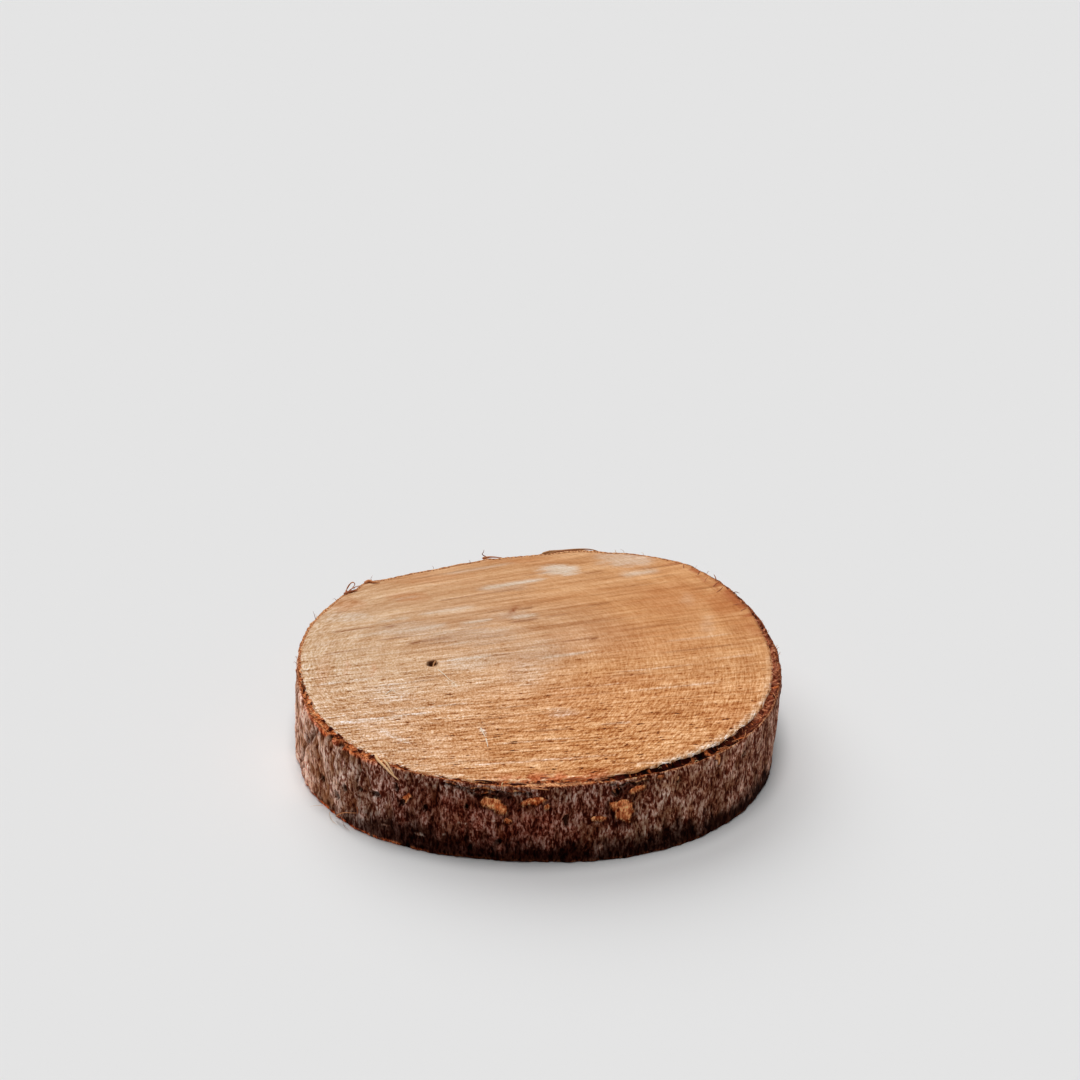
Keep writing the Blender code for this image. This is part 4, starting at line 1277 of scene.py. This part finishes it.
def tube_places(path, thickness, turn_share, step):
    """Places on a round tube along a path, thinner towards its far end and closed at both"""
    way = np.gradient(path, axis=0)
    way /= np.linalg.norm(way, axis=1)[:, None]
    across = np.cross(way, (0.31, 0.22, 0.93))
    across /= np.linalg.norm(across, axis=1)[:, None]
    over = np.cross(way, across)
    share = step / (len(path) - 1)
    girth = 0.5 * thickness * (1.0 - 0.72 * share) * np.where((share == 0) | (share == 1), 0.0, 1.0)
    k = step.astype(int)
    turn = turn_share * TURN
    return path[k] + girth[:, None] * (np.cos(turn)[:, None] * across[k] + np.sin(turn)[:, None] * over[k])


def strand_piece(name, strands, material, sides, steps):
    """One piece of many tubes; each strand is a path, a thickness and a tone"""
    data = grid_mesh(name, *[(sides, steps, float(number)) for number in range(len(strands))])
    points = read_points(data)
    label = np.round(points[:, 2]).astype(int)
    places = np.zeros((len(points), 3))
    tones = np.zeros((len(points), 3))
    for number, (path, thickness, tone) in enumerate(strands):
        own = label == number
        step = np.round(points[own, 1] * steps)
        places[own] = tube_places(path, thickness, points[own, 0] % 1.0, step)
        tones[own] = daylight(*tone)
    set_points(data, places[:, 0], places[:, 1], np.maximum(places[:, 2], 0.02))
    set_attribute(data, "tone", tones)
    return finish_piece(name, data, material)


def knot_places(knots, thickness):
    """Turn bearings, distances outside the rim and heights into places"""
    knots = np.array(knots, float)
    bearing = np.radians(knots[:, 0])
    radius = trunk_radius(bearing, knots[:, 2], thickness) + knots[:, 1]
    return np.stack([radius * np.cos(bearing), radius * np.sin(bearing), knots[:, 2]], axis=1)


class OBJECT_OT_torn_strands(bpy.types.Operator):
    """Model the larger torn strips that curl from the rim and hang on the bark"""

    bl_idname = "object.torn_strands"
    bl_label = "Torn strands"

    def execute(self, context):
        thickness = context.scene.slice_sizes.thickness
        strands = [(smooth_path(knot_places(knots, thickness), STRAND_STEPS), girth, STRAND_TONES[tone])
                   for knots, girth, tone in STRANDS]
        strands += [(smooth_path(np.array(knots), STRAND_STEPS), girth, STRAND_TONES[tone])
                    for knots, girth, tone in CURLS]
        strand_piece("torn_strands", strands, strand_material(), STRAND_SIDES, STRAND_STEPS)
        return {"FINISHED"}


class OBJECT_OT_rim_whiskers(bpy.types.Operator):
    """Scatter fine fibres along the inner bark at the upper rim"""

    bl_idname = "object.rim_whiskers"
    bl_label = "Rim whiskers"

    SIDES = 4
    STEPS = 5
    # Bearings of the front and of the back, and the heights at which a whisker starts, bends and ends
    FRONT = (190, 372)
    BACK = (12, 190)
    ROOT, BEND, TIP = 26.1, 26.7, 26.6

    def execute(self, context):
        sizes = context.scene.slice_sizes
        draw = np.random.default_rng(91)
        strands = []
        for number in range(sizes.whiskers):
            bearing = draw.uniform(*(self.FRONT if number % 8 else self.BACK))
            width = float(read_ring(INNER_BARK_WIDTHS, math.radians(bearing)))
            start = -draw.uniform(0.2, 1.0) * width
            swing = draw.uniform(-1.6, 1.6)
            reach = draw.uniform(0.4, 1.6)
            lift = draw.uniform(0.1, 0.8)
            knots = ((bearing, start, self.ROOT),
                     (bearing + 0.4 * swing, start + 0.5 * reach, self.BEND + lift),
                     (bearing + swing, start + reach, self.TIP + 0.6 * lift))
            tone = STRAND_TONES[draw.choice(["straw", "orange", "orange", "rust"])]
            strands.append((smooth_path(knot_places(knots, sizes.thickness), self.STEPS),
                            draw.uniform(0.12, 0.26), tone))
        strand_piece("rim_whiskers", strands, strand_material(), self.SIDES, self.STEPS)
        return {"FINISHED"}


def strand_material():
    shader = Shader("Torn fibre")
    tone = shader.attribute("tone", 0)
    place = shader.node("TexCoord", output=3)
    grain = shader.noise(shader.stretched(place, (1800.0, 1800.0, 1800.0)), 2.0, 0.6)
    colour = shader.mix(shader.ramp(grain, 0.5, 0.3) * 0.25, tone, solid(daylight(*STRAND_SHADE)))
    return shader.finish(colour, 0.8, None, 0.3)


# Studio


class SCENE_OT_studio(bpy.types.Operator):
    """Set up the pale floor, the soft light and the camera"""

    bl_idname = "scene.studio"
    bl_label = "Studio"

    CAMERA_PLACE = (1.2, -609.3, 392.4)
    SENSOR_WIDTH = 36.0
    FLOOR_REACH = 6.0
    FLOOR_COLOUR = (0.80, 0.80, 0.80, 1.0)
    WHITE = (1.0, 1.0, 1.0, 1.0)
    # The sky as the camera sees it, behind the floor
    SEEN_SKY = 0.78
    # Where each light comes from, and its width in degrees
    KEY = ((-0.321, 0.630, 0.707), 56.0)
    CEILING = ((0.0, 0.0, 1.0), 25.0)

    def make_floor(self, scene):
        mesh = bmesh.new()
        bmesh.ops.create_grid(mesh, x_segments=1, y_segments=1, size=self.FLOOR_REACH)
        data = bpy.data.meshes.new("floor")
        mesh.to_mesh(data)
        mesh.free()
        data.materials.append(Shader("Pale floor").finish(self.FLOOR_COLOUR, 0.9, None, 0.0))
        floor = bpy.data.objects.new("floor", data)
        scene.collection.objects.link(floor)

    def make_sky(self, scene):
        """Even light, and a brighter sky where the camera sees it past the floor"""
        world = bpy.data.worlds.new("Even light")
        world.use_nodes = True
        nodes = world.node_tree.nodes
        seen = nodes.new("ShaderNodeLightPath")
        strength = nodes.new("ShaderNodeMapRange")
        strength.inputs["To Min"].default_value = scene.studio_settings.sky
        strength.inputs["To Max"].default_value = self.SEEN_SKY
        world.node_tree.links.new(seen.outputs["Is Camera Ray"], strength.inputs["Value"])
        world.node_tree.links.new(strength.outputs[0], nodes["Background"].inputs["Strength"])
        nodes["Background"].inputs["Color"].default_value = self.WHITE
        scene.world = world

    def make_lamp(self, scene, name, source, angle, energy):
        light = bpy.data.lights.new(name, "SUN")
        light.energy = energy
        light.angle = math.radians(angle)
        lamp = bpy.data.objects.new(name, light)
        lamp.rotation_euler = Vector(source).to_track_quat("Z", "Y").to_euler()
        scene.collection.objects.link(lamp)

    def make_camera(self, scene):
        studio = scene.studio_settings
        camera_data = bpy.data.cameras.new("camera")
        camera_data.lens = studio.lens
        camera_data.sensor_width = self.SENSOR_WIDTH
        camera = bpy.data.objects.new("camera", camera_data)
        camera.location = [c * MM for c in self.CAMERA_PLACE]
        camera.rotation_euler = (math.radians(90.0 - studio.pitch), 0.0, 0.0)
        scene.collection.objects.link(camera)
        scene.camera = camera

    def execute(self, context):
        scene = context.scene
        self.make_floor(scene)
        self.make_sky(scene)
        self.make_lamp(scene, "key", *self.KEY, scene.studio_settings.key)
        self.make_lamp(scene, "ceiling", *self.CEILING, scene.studio_settings.ceiling)
        self.make_camera(scene)
        scene.view_settings.view_transform = "Standard"
        return {"FINISHED"}


class VIEW3D_PT_wood_slice(bpy.types.Panel):
    """Lists the slice's pieces and settings"""

    bl_label = "Wood slice"
    bl_space_type = "VIEW_3D"
    bl_region_type = "UI"
    bl_category = "Wood slice"

    def draw(self, context):
        layout = self.layout
        for operator in OPERATORS:
            layout.operator(operator.bl_idname)
        scene = context.scene
        for group in (scene.slice_sizes, scene.slice_colours, scene.studio_settings):
            for name in group.bl_rna.properties.keys():
                if name not in ("rna_type", "name"):
                    layout.prop(group, name)


OPERATORS = (OBJECT_OT_sawn_wood, OBJECT_OT_outer_bark, OBJECT_OT_inner_bark, OBJECT_OT_torn_strands,
             OBJECT_OT_rim_whiskers, SCENE_OT_studio)
CLASSES = (SliceSizes, SliceColours, StudioSettings, *OPERATORS, VIEW3D_PT_wood_slice)


def register():
    for item in CLASSES:
        bpy.utils.register_class(item)
    bpy.types.Scene.slice_sizes = PointerProperty(type=SliceSizes)
    bpy.types.Scene.slice_colours = PointerProperty(type=SliceColours)
    bpy.types.Scene.studio_settings = PointerProperty(type=StudioSettings)


def unregister():
    for name in ("slice_sizes", "slice_colours", "studio_settings"):
        delattr(bpy.types.Scene, name)
    for item in reversed(CLASSES):
        bpy.utils.unregister_class(item)


def main():
    register()
    bpy.ops.object.sawn_wood()
    bpy.ops.object.outer_bark()
    bpy.ops.object.inner_bark()
    bpy.ops.object.torn_strands()
    bpy.ops.object.rim_whiskers()
    bpy.ops.scene.studio()


if __name__ == "__main__":
    main()
